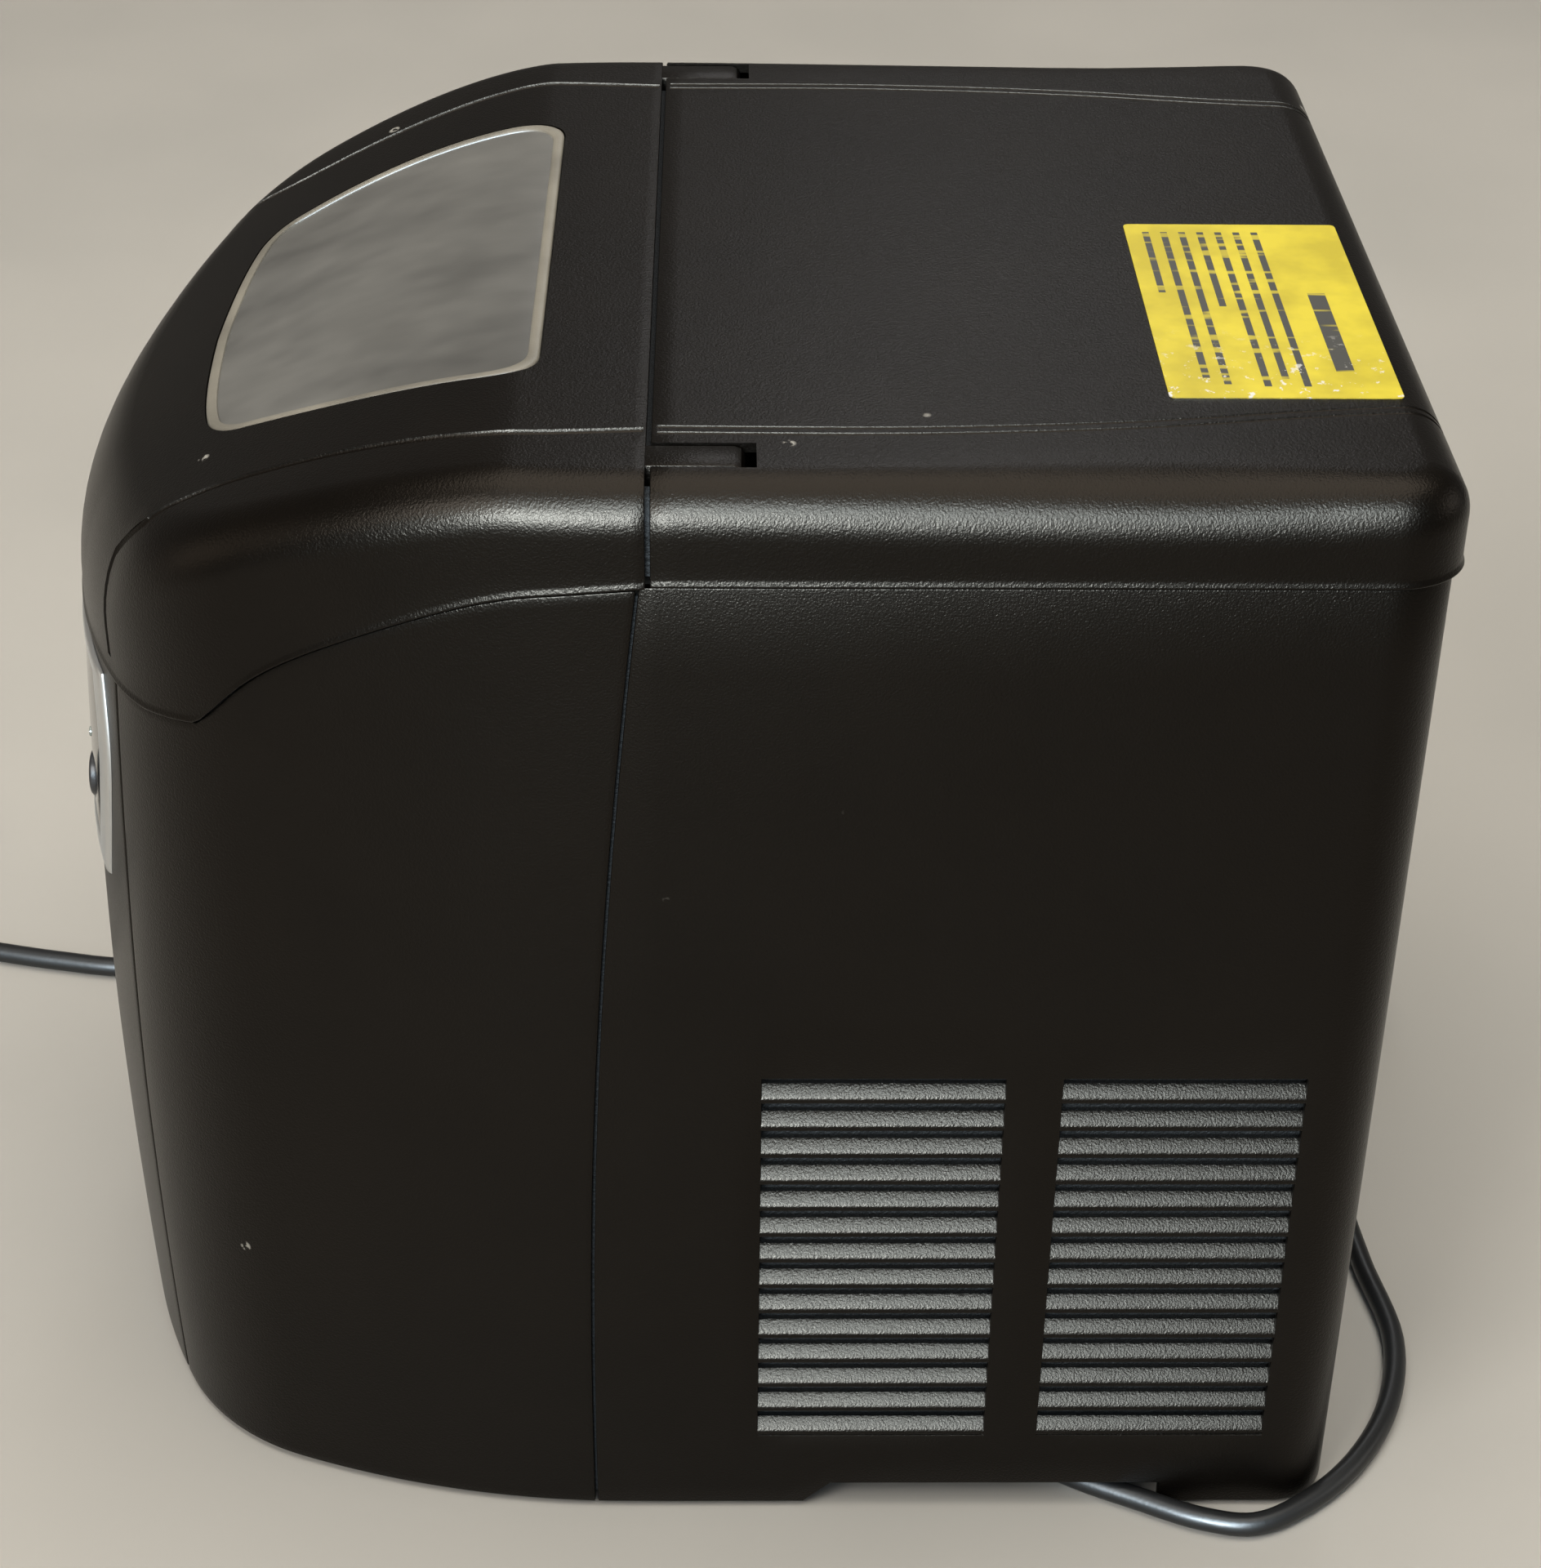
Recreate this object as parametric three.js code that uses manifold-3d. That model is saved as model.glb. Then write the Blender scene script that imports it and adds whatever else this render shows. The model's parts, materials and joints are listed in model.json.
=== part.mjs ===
// Countertop ice maker: a compressor machine that freezes bullet-shaped ice on chilled fingers.
// Millimetres, +Z up. The front faces -Y, the right side faces +X, and the machine stands on Z = 0.
import * as THREE from "three";
import { mergeVertices } from "three/addons/utils/BufferGeometryUtils.js";
import Module from "manifold-3d";

const wasm = await Module();
wasm.setup();

// ---- Driving dimensions -------------------------------------------------------------------------
const WIDTH = 300; // body, side to side
const FRONT_Y = -188; // foremost point of the bowed front
const REAR_Y = 184.5; // back wall
const TOP_Z = 343; // flat top of the covers
const SKIRT_Z = 2; // lower edge of the body walls
const LIP_Z = 316.4; // lower edge of the rear cover's rim
const WALL = 2.6; // moulded wall thickness
const GAP = 0.4; // play between neighbouring mouldings
const LIP = 1; // how far the covers overhang the walls below

const SIDE_ARC = { r: 285, turn: THREE.MathUtils.degToRad(21.3) }; // plan outline, from the side forward
const CORNER_ARC = { r: 71, turn: THREE.MathUtils.degToRad(63) };
const REAR_CORNER = { x: 16, y: 18 }; // half axes of the elliptical rear corner
const SEAM_Y = -16.2; // joint between lid and rear cover
const SEAM_GAP = 1.3;
const SHOULDER_R = 14; // round-over along the top edges
const LID_FALL = 0.0362; // how fast the lid curves down towards the front
const LID_FALL_START = -50;
const NOSE_R = { inset: 18, drop: 38 }; // round-over of the lid at the front

const PAN = { z0: 10, z1: 13 }; // base pan
const FOOT_R = 11;
const FEET = [[118, -112], [-118, -112], [118, 156], [-118, 156]];
const ARCH = { y0: 27, y1: 137, slope: 8, z: 9.5 }; // cable arch in the side skirts

const LOUVRE = { count: 14, pitch: 9.61, z0: 155.4, blocks: [[13.2, 79.7], [95.4, 162]] };

const BIN = { x: 108, y0: -150, y1: 20, r: 40, wall: 3, z0: 60 }; // tub for water and ice
const FOAM = 10;
const BASKET = { x: 92, y0: -140, y1: -70, r: 28, wall: 2.4, z0: 118.3, z1: 205 };

const ICE_AXIS = { y: -30, z: 232 }; // the tray and the shovel both turn about this line
const TRAY = { r0: 24, r1: 26.5, half: 74.5, end: 2.5, from: 195, to: 345 };
const SHOVEL = { r0: 28.5, r1: 30.5, half: 79.5, arm: 2.5, from: 300, to: 345 };
const CHUTE = { r0: 32.2, r1: 34.4, from: 215, to: 330 };
const CHEEK = {
  x0: 82,
  x1: 85.5,
  outline: [[-66, 214], [-54, 196], [-4, 196], [10, 214], [10, 286], [-58, 286], [-66, 264]],
};
const HOSE = { y: -50, z: 275, r: 4 }; // where the fill hose passes through the bin wall
const DRAIN = { y: -14, z: 30, r: 9 };
const FINGERS = { count: 8, pitch: 18, r: 4.5, tip: -19 };
const AXLE_R = 3;

const HINGE = { y: 1.5, z: 338.5, r: 2, x0: 126.5, x1: 137.5, end: 7.6 };
const FAN = { y: 99, z: 91, r: 52, x0: 97, x1: 111 };
const COMPRESSOR = { x: -62, y: 100, r: 52, z0: 22.8, z1: 152 };
const BUTTONS = { names: ["power", "size", "clean", "timer"], pitch: 30, z: 194, r: 7 };

const CORD_R = 3.5;
const CORD_Z = 3.6; // centre of the cord where it lies on the floor
const STRAIN_RELIEF = { x: -100, z: 62, y1: 213.7 };
const CORD_ROUTE = [
  [-100, 214.1, 62], [-100, 217.6, 61.9], [-100, 224.6, 60.5], [-100, 231.5, 56.7], [-100, 237.7, 50.5], [-100, 241.6, 42.7],
  [-100, 243, 34], [-98.6, 242.4, 24.6], [-94.6, 240.9, 16.1], [-88.4, 238.4, 9.4], [-80.5, 235.2, 5.1],
  [-71.7, 231.8, CORD_Z], [-50, 223.6, CORD_Z], [-20, 215, CORD_Z], [12, 211, CORD_Z], [45.5, 212.6, CORD_Z],
  [82, 216.5, CORD_Z], [111.3, 209.7, CORD_Z], [135.6, 195.4, CORD_Z],
  [152.4, 177.8, CORD_Z], [161, 161, CORD_Z], [158.9, 146, CORD_Z], [150, 126, CORD_Z],
  [141, 108, CORD_Z], [124, 84, CORD_Z], [96, 64, CORD_Z], [50, 51, CORD_Z],
  [-40, 48, CORD_Z], [-100, 53, CORD_Z], [-134, 50, CORD_Z], [-151, 41, CORD_Z],
  [-161.5, 24, CORD_Z], [-167, 0, CORD_Z], [-168, -30, CORD_Z], [-163, -68, CORD_Z], [-152, -105, CORD_Z],
  [-137, -142, CORD_Z], [-122, -180, CORD_Z], [-116, -215, CORD_Z], [-120.3, -243.4, CORD_Z],
  [-127, -272, CORD_Z], [-133, -299, CORD_Z], [-137.8, -320, CORD_Z],
];
const COIL = { x: -188, y: -341, r: 42, half: 7.2, top: 14.4 };
const PLUG = { x: -238, y: -385, length: 34, w: 24, h: 20 };

// ---- Solids: three.js makes the shapes, manifold-3d joins and cuts them ---------------------------
function solid(geometry) {
  const bare = geometry.index ? geometry.toNonIndexed() : geometry.clone();
  const only = new THREE.BufferGeometry().setAttribute("position", bare.getAttribute("position"));
  const merged = mergeVertices(only, 1e-3);
  return new wasm.Manifold(
    new wasm.Mesh({
      numProp: 3,
      vertProperties: merged.attributes.position.array,
      triVerts: new Uint32Array(merged.index.array),
    }),
  );
}

const join = (...parts) => parts.reduce((a, b) => a.add(b));
const cut = (body, ...tools) => tools.reduce((a, b) => a.subtract(b), body);
const common = (a, b) => a.intersect(b);

function box(x0, x1, y0, y1, z0, z1) {
  const g = new THREE.BoxGeometry(x1 - x0, y1 - y0, z1 - z0);
  return solid(g.translate((x0 + x1) / 2, (y0 + y1) / 2, (z0 + z1) / 2));
}

// A cylinder of radius r from one height to another along x, y or z; c holds its other two coordinates.
function rod(axis, r, from, to, c, segments = 20, r2 = r) {
  const g = new THREE.CylinderGeometry(r2, r, to - from, segments).translate(0, (from + to) / 2, 0);
  if (axis === "x") g.rotateZ(-Math.PI / 2).translate(0, c[0], c[1]);
  if (axis === "y") g.translate(c[0], 0, c[1]);
  if (axis === "z") g.rotateX(Math.PI / 2).translate(c[0], c[1], 0);
  return solid(g);
}

// A flat outline carried along x (outline in y, z), y (outline in x, z) or z (outline in x, y).
function prism(axis, outline, from, to, holes = []) {
  const shape = new THREE.Shape(outline.map(([a, b]) => new THREE.Vector2(a, b)));
  shape.holes = holes.map((h) => new THREE.Path(h.map(([a, b]) => new THREE.Vector2(a, b))));
  const g = new THREE.ExtrudeGeometry(shape, { depth: to - from, bevelEnabled: false });
  g.translate(0, 0, from);
  if (axis === "x") g.applyMatrix4(new THREE.Matrix4().set(0, 0, 1, 0, 1, 0, 0, 0, 0, 1, 0, 0, 0, 0, 0, 1));
  if (axis === "y") g.rotateX(Math.PI / 2).scale(1, -1, 1);
  if (axis !== "y") return solid(g);
  return solid(flip(g));
}

// Turns every face round, for a geometry that a mirroring has left inside out.
function flip(geometry) {
  const g = geometry.index ? geometry.toNonIndexed() : geometry;
  const p = g.getAttribute("position");
  const a = new THREE.Vector3();
  const b = new THREE.Vector3();
  for (let i = 0; i < p.count; i += 3) {
    a.fromBufferAttribute(p, i + 1);
    b.fromBufferAttribute(p, i + 2);
    p.setXYZ(i + 1, b.x, b.y, b.z);
    p.setXYZ(i + 2, a.x, a.y, a.z);
  }
  return g;
}

// A round bar that follows a smooth curve through its points.
function tube(points, r, steps, sides = 4) {
  const path = new THREE.CatmullRomCurve3(points.map((p) => new THREE.Vector3(...p)), false, "centripetal");
  const section = new THREE.Shape().absarc(0, 0, r, 0, 2 * Math.PI, false);
  return solid(
    new THREE.ExtrudeGeometry(section, { steps, curveSegments: sides, extrudePath: path }),
  );
}

function lathe(profile, segments, centre) {
  const g = new THREE.LatheGeometry(profile.map(([r, z]) => new THREE.Vector2(r, z)), segments);
  return solid(g.rotateX(Math.PI / 2).translate(...centre));
}

function roundedRect(x, y0, y1, r, steps = 5) {
  const points = [];
  const corners = [[x - r, y0 + r, -90], [x - r, y1 - r, 0], [-x + r, y1 - r, 90], [-x + r, y0 + r, 180]];
  for (const [cx, cy, start] of corners) {
    for (let i = 0; i <= steps; i++) {
      const a = THREE.MathUtils.degToRad(start + (90 * i) / steps);
      points.push([cx + r * Math.cos(a), cy + r * Math.sin(a)]);
    }
  }
  return points;
}

// A ring sector in the y, z plane about a centre, in degrees from +Y towards +Z.
function sector(centre, r0, r1, from, to, steps = 14) {
  const arc = (r) =>
    Array.from({ length: steps + 1 }, (_, i) => {
      const a = THREE.MathUtils.degToRad(from + ((to - from) * i) / steps);
      return [centre.y + r * Math.cos(a), centre.z + r * Math.sin(a)];
    });
  return r0 > 0 ? [...arc(r1), ...arc(r0).reverse()] : [...arc(r1), [centre.y, centre.z]];
}

// ---- The body's outline ---------------------------------------------------------------------------
// Plan outline of the right half, from the centre of the front to the centre of the back, as points
// with outward normals: a front arc, a corner arc and a side arc that meet smoothly, a straight side
// and an elliptical rear corner. The front and side arcs are sized so that the chain closes.
function planHalf() {
  const half = WIDTH / 2;
  const [a, b] = [SIDE_ARC.turn, CORNER_ARC.turn];
  const frontR =
    (half - SIDE_ARC.r * (1 - Math.cos(a)) - CORNER_ARC.r * (Math.cos(a) - Math.cos(b))) / Math.cos(b);
  const sideY =
    FRONT_Y + SIDE_ARC.r * Math.sin(a) + CORNER_ARC.r * (Math.sin(b) - Math.sin(a)) +
    frontR * (1 - Math.sin(b));
  const arcs = [
    { r: frontR, x: 0, y: FRONT_Y + frontR, from: Math.PI / 2, to: b, steps: 8 },
    { r: CORNER_ARC.r, from: b, to: a, steps: 6 },
    { r: SIDE_ARC.r, x: half - SIDE_ARC.r, y: sideY, from: a, to: 0, steps: 5 },
  ];
  arcs[1].x = arcs[0].x + (frontR - CORNER_ARC.r) * Math.cos(b);
  arcs[1].y = arcs[0].y - (frontR - CORNER_ARC.r) * Math.sin(b);
  const points = [];
  arcs.forEach((arc, n) => {
    for (let i = n ? 1 : 0; i <= arc.steps; i++) {
      const t = arc.from + ((arc.to - arc.from) * i) / arc.steps;
      const [c, s] = [Math.cos(t), Math.sin(t)];
      points.push({ x: arc.x + arc.r * c, y: arc.y - arc.r * s, nx: c, ny: -s });
    }
  });
  points.push({ x: half, y: SEAM_Y, nx: 1, ny: 0 });
  const rearSteps = 6;
  for (let i = 0; i <= rearSteps; i++) {
    const t = (Math.PI / 2) * (i / rearSteps);
    const n = new THREE.Vector2(Math.cos(t) * REAR_CORNER.y, Math.sin(t) * REAR_CORNER.x).normalize();
    points.push({
      x: half - REAR_CORNER.x * (1 - Math.cos(t)),
      y: REAR_Y - REAR_CORNER.y * (1 - Math.sin(t)),
      nx: n.x,
      ny: n.y,
    });
  }
  return points;
}
const PLAN = planHalf();
const SEAM_INDEX = PLAN.findIndex((p) => p.y === SEAM_Y);

// The front leans: it bulges slightly at mid height and draws back towards the floor and the lid.
function frontAt(z) {
  if (z < 110) return FRONT_Y + 2.5 * ((110 - z) / 108) ** 2;
  return FRONT_Y + 6 * ((z - 110) / 142) ** 1.7;
}

function leaned(p, z, offset) {
  const y = p.y < SEAM_Y ? SEAM_Y + ((p.y - SEAM_Y) * (frontAt(z) - SEAM_Y)) / (FRONT_Y - SEAM_Y) : p.y;
  return [p.x + p.nx * offset, y + p.ny * offset];
}

function fullRing(z, offset) {
  const right = PLAN.map((p) => leaned(p, z, offset));
  const left = right.slice(1).reverse().map(([x, y]) => [-x, y]);
  if (Math.abs(left[left.length - 1][0]) < 1e-6) left.pop();
  return [...right, ...left].map(([x, y]) => new THREE.Vector3(x, y, z));
}

function quadMesh(quads) {
  const xyz = [];
  for (const q of quads) {
    xyz.push(q[0], q[1], q[2]);
    if (q[3]) xyz.push(q[0], q[2], q[3]);
  }
  return new THREE.BufferGeometry().setFromPoints(xyz);
}

// A closed solid through a stack of rings with equal counts, lowest first.
function loft(rings) {
  const n = rings[0].length;
  const quads = [];
  for (let k = 0; k + 1 < rings.length; k++) {
    for (let i = 0; i < n; i++) {
      const j = (i + 1) % n;
      quads.push([rings[k][i], rings[k][j], rings[k + 1][j], rings[k + 1][i]]);
    }
  }
  const cap = (ring) =>
    THREE.ShapeUtils.triangulateShape(ring.map((p) => new THREE.Vector2(p.x, p.y)), []);
  const top = rings[rings.length - 1];
  cap(rings[0]).forEach(([a, b, c]) => quads.push([rings[0][c], rings[0][b], rings[0][a]]));
  cap(top).forEach(([a, b, c]) => quads.push([top[a], top[b], top[c]]));
  return solid(quadMesh(quads));
}

const LEVELS = [SKIRT_Z, 60, 120, 170, 215, 260, 330];
const bodySolid = (offset, levels = LEVELS) => loft(levels.map((z) => fullRing(z, offset)));

// A cover: its rim is an open run of outline points whose ends lie in one vertical plane. Rings drawn
// in from the rim round over into a top surface that is level from side to side.
function cover(rim, levels) {
  const rings = levels.map((level) =>
    rim.map((p) => {
      const { inset, z } = level(p);
      return new THREE.Vector3(p.x - p.nx * inset, p.y - p.ny * inset, z(p.y - p.ny * inset));
    }),
  );
  const n = rim.length - 1;
  const quads = [];
  const ladder = (ring, up) => {
    for (let i = 0; i < n - i; i++) {
      const [a, b, c, d] = [ring[i], ring[i + 1], ring[n - i - 1], ring[n - i]];
      const face = i + 1 < n - i - 1 ? [a, b, c, d] : i + 1 === n - i - 1 ? [a, b, d] : null;
      if (face) quads.push(up ? face : face.reverse());
    }
  };
  for (let k = 0; k + 1 < rings.length; k++) {
    for (let i = 0; i < n; i++) {
      quads.push([rings[k][i], rings[k][i + 1], rings[k + 1][i + 1], rings[k + 1][i]]);
    }
    quads.push([rings[k][n], rings[k][0], rings[k + 1][0], rings[k + 1][n]]);
  }
  ladder(rings[0], false);
  ladder(rings[rings.length - 1], true);
  const made = solid(quadMesh(quads));
  return made.volume() > 0 ? made : solid(flip(quadMesh(quads)));
}

// The rim runs counter-clockwise seen from above.
function rimPoints(part, z, offset, endY) {
  const half = part === "lid" ? PLAN.slice(0, SEAM_INDEX + 1) : PLAN.slice(SEAM_INDEX);
  const placed = half.map((p) => {
    const [x, y] = leaned(p, z, offset);
    const back = part === "lid" ? 0 : Math.max(0, p.ny) * LIP;
    return { x, y: p.y === SEAM_Y ? endY : y + back, nx: p.nx, ny: p.ny };
  });
  const mirrored = placed.map((p) => ({ ...p, x: -p.x, nx: -p.nx }));
  if (part === "lid") return [...mirrored.slice(1).reverse(), ...placed];
  return [...placed, ...mirrored.slice(0, -1).reverse()];
}

const lidTop = (y) => TOP_Z - LID_FALL * Math.max(0, LID_FALL_START - y) ** 1.5;
const ROUND = [0, 22.5, 45, 67.5, 90].map((d) => THREE.MathUtils.degToRad(d));

// thin draws the whole skin in, for the inner face of a shell.
function lidSolid(thin = 0, endY = SEAM_Y - SEAM_GAP / 2) {
  const rim = rimPoints("lid", 258, LIP - thin, endY - thin);
  const nose = (p) => Math.max(0, -p.ny);
  const inset = (p) => SHOULDER_R + (NOSE_R.inset - SHOULDER_R) * nose(p) ** 6;
  const drop = (p) => SHOULDER_R + (NOSE_R.drop - SHOULDER_R) * nose(p) ** 5;
  const levels = [
    () => ({ inset: 0, z: () => 235 }),
    ...ROUND.map((a) => (p) => ({
      inset: inset(p) * (1 - Math.cos(a)),
      z: (y) => lidTop(y) - thin - drop(p) * (1 - Math.sin(a)),
    })),
  ];
  return cover(rim, levels);
}

function rearCoverSolid(thin = 0, endY = SEAM_Y + SEAM_GAP / 2) {
  const rim = rimPoints("rear", 300, LIP - thin, endY + thin);
  const levels = [
    () => ({ inset: 0, z: () => (thin ? LIP_Z - 20 : LIP_Z) }),
    ...ROUND.map((a) => () => ({
      inset: SHOULDER_R * (1 - Math.cos(a)),
      z: () => TOP_Z - thin - SHOULDER_R * (1 - Math.sin(a)),
    })),
  ];
  return cover(rim, levels);
}

// ---- Lines that divide the body -------------------------------------------------------------------
// The joint between front shell and rear housing sweeps forward on its way down.
const seamAt = (z) => -35 + 16.2 * (z / LIP_Z) ** 2.35;
const seamLine = (shift) =>
  Array.from({ length: 17 }, (_, i) => -10 + 22 * i).map((z) => [seamAt(Math.max(z, 0)) + shift, z]);

// The lid's lower edge, from the hinge to a pointed lobe at the front corner and round the front.
const skirtCurve = new THREE.SplineCurve(
  [[-14, 316.2], [-33, 314.5], [-52, 312], [-72, 305.4], [-103, 290], [-119, 278.5], [-134.5, 261.5]].map(
    ([y, z]) => new THREE.Vector2(y, z),
  ),
);
const skirtLine = (drop) => [
  ...skirtCurve.getPoints(18).map((p) => [p.x, p.y - drop]),
  [-150, 257.5 - drop],
  [-200, 251 - drop],
];
const REACH = 170; // half length of a tool that cuts right across the body

const belowSkirt = (drop) =>
  prism("x", [[60, LIP_Z - drop], ...skirtLine(drop), [-200, -20], [60, -20]].reverse(), -REACH, REACH);
const aheadOfSeam = prism("x", [...seamLine(-GAP), [-230, 342], [-230, -10]], -REACH, REACH);
const behindSeam = prism("x", [...seamLine(GAP).reverse(), [230, -10], [230, 342]], -REACH, REACH);

const bodyTube = (levels) =>
  cut(bodySolid(0, levels), bodySolid(-WALL, [SKIRT_Z - 5, ...levels.slice(1, -1), 335]));

// ---- Casing ---------------------------------------------------------------------------------------
const archTool = prism(
  "x",
  [[ARCH.y0, -5], [ARCH.y1, -5], [ARCH.y1 - ARCH.slope / 2, ARCH.z], [ARCH.y0 + ARCH.slope, ARCH.z]],
  -REACH,
  REACH,
);

// Curved layer that follows the front, between two offsets, inside an outline drawn in x, z.
function frontLayer(outline, inner, outer) {
  const levels = LEVELS.filter((z) => z >= 170 && z <= 260);
  const layer = cut(bodySolid(outer, levels), bodySolid(inner, [165, ...levels.slice(0, -1), 265]));
  return common(layer, prism("y", outline, -220, -120));
}

// A barrel-sided outline, widest above its middle, drawn in from its sides and its ends.
function panelOutline(side, end) {
  const midZ = 213;
  const right = new THREE.SplineCurve(
    [[73, 177], [79, 199], [83, 225], [79, 248]].map(([x, z]) => new THREE.Vector2(x, z)),
  ).getPoints(8);
  const edge = right.map((p) => [p.x - side, midZ + (p.y - midZ) * (1 - end / 36)]);
  return [...edge, ...edge.map(([x, z]) => [-x, z]).reverse()];
}

const buttonX = (i) => (i - (BUTTONS.names.length - 1) / 2) * BUTTONS.pitch;
const buttonHoles = (r) =>
  BUTTONS.names.map((_, i) => rod("y", r, -200, -160, [buttonX(i), BUTTONS.z], 20));

function frontShell() {
  const walls = common(common(bodyTube(LEVELS), aheadOfSeam), belowSkirt(0.9));
  return cut(walls, ...buttonHoles(BUTTONS.r + 0.6));
}

// One slat, all the way round the body: its face slopes up and inwards from a lip flush with the wall.
function slatRing(z) {
  const levels = (list) => loft(list.map(([dz, offset]) => fullRing(z + dz, offset)));
  const outer = levels([[-1, -0.2], [0.4, -0.2], [4.2, -3.8]]);
  return cut(outer, levels([[-1.1, -1.4], [4.3, -4.9]]));
}

const REAR_SCREWS = [[118, 40], [-118, 40], [118, 296], [-118, 296]];

function rearHousing() {
  let shell = common(bodyTube([SKIRT_Z, 330]), behindSeam);
  shell = cut(shell, box(-REACH, REACH, -60, 200, LIP_Z - 0.6, 360), archTool);
  const top = LOUVRE.z0 + 7.4;
  const bottom = LOUVRE.z0 - (LOUVRE.count - 1) * LOUVRE.pitch - 1.2;
  const blocks = LOUVRE.blocks.flatMap(([y0, y1]) => [[140, 160, y0, y1], [-160, -140, y0, y1]]);
  shell = cut(shell, ...blocks.map((b) => box(...b, bottom, top)));
  const inBlocks = join(...blocks.map(([x0, x1, y0, y1]) => box(x0, x1, y0 - 1, y1 + 1, bottom - 9, top)));
  const slats = Array.from({ length: LOUVRE.count }, (_, i) => slatRing(LOUVRE.z0 - i * LOUVRE.pitch));
  shell = shell.add(common(join(...slats), inBlocks));
  const slots = Array.from({ length: 11 }, (_, i) => (i - 5) * 9);
  shell = cut(shell, ...slots.map((x) => box(x - 1.8, x + 1.8, 170, 200, 206, 262)));
  shell = cut(shell, ...REAR_SCREWS.map((c) => rod("y", 2.4, 170, 200, c, 12)));
  return cut(
    shell,
    rod("y", 7.4, 170, 200, [STRAIN_RELIEF.x, STRAIN_RELIEF.z], 20),
    rod("x", DRAIN.r + 2.6, -160, -140, [DRAIN.y, DRAIN.z], 20),
  );
}

function basePan() {
  const plate = cut(
    bodySolid(-WALL - 0.5, [PAN.z0, 11.5, PAN.z1]),
    ...FEET.map(([x, y]) => rod("z", 3, 0, 20, [x, y], 14)),
  );
  const rims = [box(-100, 100, 24, 26, PAN.z1 - 1, 30)];
  return join(plate, ...rims);
}

const foot = (x, y) => join(rod("z", FOOT_R, 0, PAN.z0 - 0.3, [x, y], 22, FOOT_R - 1), rod("z", 2.5, 9, 16, [x, y], 14));

function rearCover() {
  const outer = rearCoverSolid();
  const pockets = [1, -1].map((s) => {
    const [a, b] = [s * (HINGE.x0 - 5), s * (HINGE.x1 + 5)].sort((p, q) => p - q);
    return common(box(a, b, SEAM_Y + SEAM_GAP / 2, 14, 327.5, 350), outer);
  });
  const slots = [1, -1].map((s) => {
    const [a, b] = [s * (HINGE.x0 - 1), s * (HINGE.x1 + 1)].sort((p, q) => p - q);
    return box(a, b, SEAM_Y - 5, 11, 330, 360);
  });
  const open = box(-140, 140, SEAM_Y - 10, SEAM_Y + 10, 300, 334);
  let shell = cut(outer, rearCoverSolid(WALL), common(open, rearCoverSolid(WALL, SEAM_Y - 12)));
  shell = cut(join(shell, ...pockets), ...slots);
  return cut(shell, rod("x", HINGE.r + 0.3, 122.5, 141.5, [HINGE.y, HINGE.z], 16),
    rod("x", HINGE.r + 0.3, -141.5, -122.5, [HINGE.y, HINGE.z], 16));
}

// ---- Lid ------------------------------------------------------------------------------------------
// Window outline, tapering forward to a bowed front edge with rounded corners.
function windowOutline(grow) {
  const right = new THREE.Path();
  right.moveTo(0, -142 - grow);
  right.quadraticCurveTo(40, -141 - grow, 58, -136.5 - grow);
  right.quadraticCurveTo(69 + grow, -133, 72 + grow, -124);
  right.quadraticCurveTo(84 + grow, -95, 87 + grow, -62);
  right.quadraticCurveTo(88 + grow, -45 + grow, 76 + grow, -45 + grow);
  const half = right.getPoints(5).map((p) => [p.x, p.y]);
  return [...half, ...half.slice(1).reverse().map(([x, y]) => [-x, y])];
}
const overWindow = (grow) => prism("z", windowOutline(grow), 200, 400);
const lowered = (body, dz) => body.translate([0, 0, -dz]);

function lidFrame() {
  let shell = cut(lidSolid(), lidSolid(WALL), belowSkirt(0), overWindow(0));
  for (const s of [1, -1]) {
    const [a, b] = [s * HINGE.x0, s * HINGE.x1].sort((p, q) => p - q);
    const arm = cut(
      box(a, b, SEAM_Y - 3, HINGE.end, 334, TOP_Z - 0.2),
      rod("x", HINGE.r + 0.3, a - 1, b + 1, [HINGE.y, HINGE.z], 16),
    );
    shell = shell.add(arm);
  }
  return shell;
}
const lidWindow = () =>
  cut(common(lowered(lidSolid(), 0.5), overWindow(-0.4)), lowered(lidSolid(), 3));

function lidLiner() {
  const sheet = cut(lowered(lidSolid(8), 6), lowered(lidSolid(8), 8), overWindow(4));
  return cut(common(sheet, box(-130, 130, -172, -26, 262, 340)), belowSkirt(0));
}

// ---- Water and ice --------------------------------------------------------------------------------
const binOutline = (grow) =>
  roundedRect(BIN.x + grow, BIN.y0 - grow, BIN.y1 + grow, BIN.r + grow, 6);

// Tub with a deck that follows the lid's lower edge and closes the gap to the shell.
function binLiner() {
  const inner = binOutline(-BIN.wall);
  const band = prism(
    "x",
    [[BIN.y1 + 8, LIP_Z - 6], ...skirtLine(6), ...skirtLine(8.4).reverse(), [BIN.y1 + 8, LIP_Z - 8.4]].reverse(),
    -REACH,
    REACH,
  );
  const deck = common(band, bodySolid(-WALL - 0.5));
  const walls = common(prism("z", binOutline(0), BIN.z0, 330), belowSkirt(6.2));
  let tub = cut(join(deck, walls), prism("z", inner, BIN.z0 + BIN.wall, 340));
  for (const s of [1, -1]) {
    const [a, b] = [s * 84, s * (BIN.x - 1)].sort((p, q) => p - q);
    tub = tub.add(box(a, b, -118, -74, 110, BASKET.z0 - 0.3));
  }
  const tubeHoles = [-56, 56].map((x) => rod("y", 5, BIN.y1 - 6, BIN.y1 + 4, [x, 276], 14));
  return cut(tub, ...tubeHoles, rod("x", 6, -112, -100, [HOSE.y, HOSE.z], 14));
}

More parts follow.
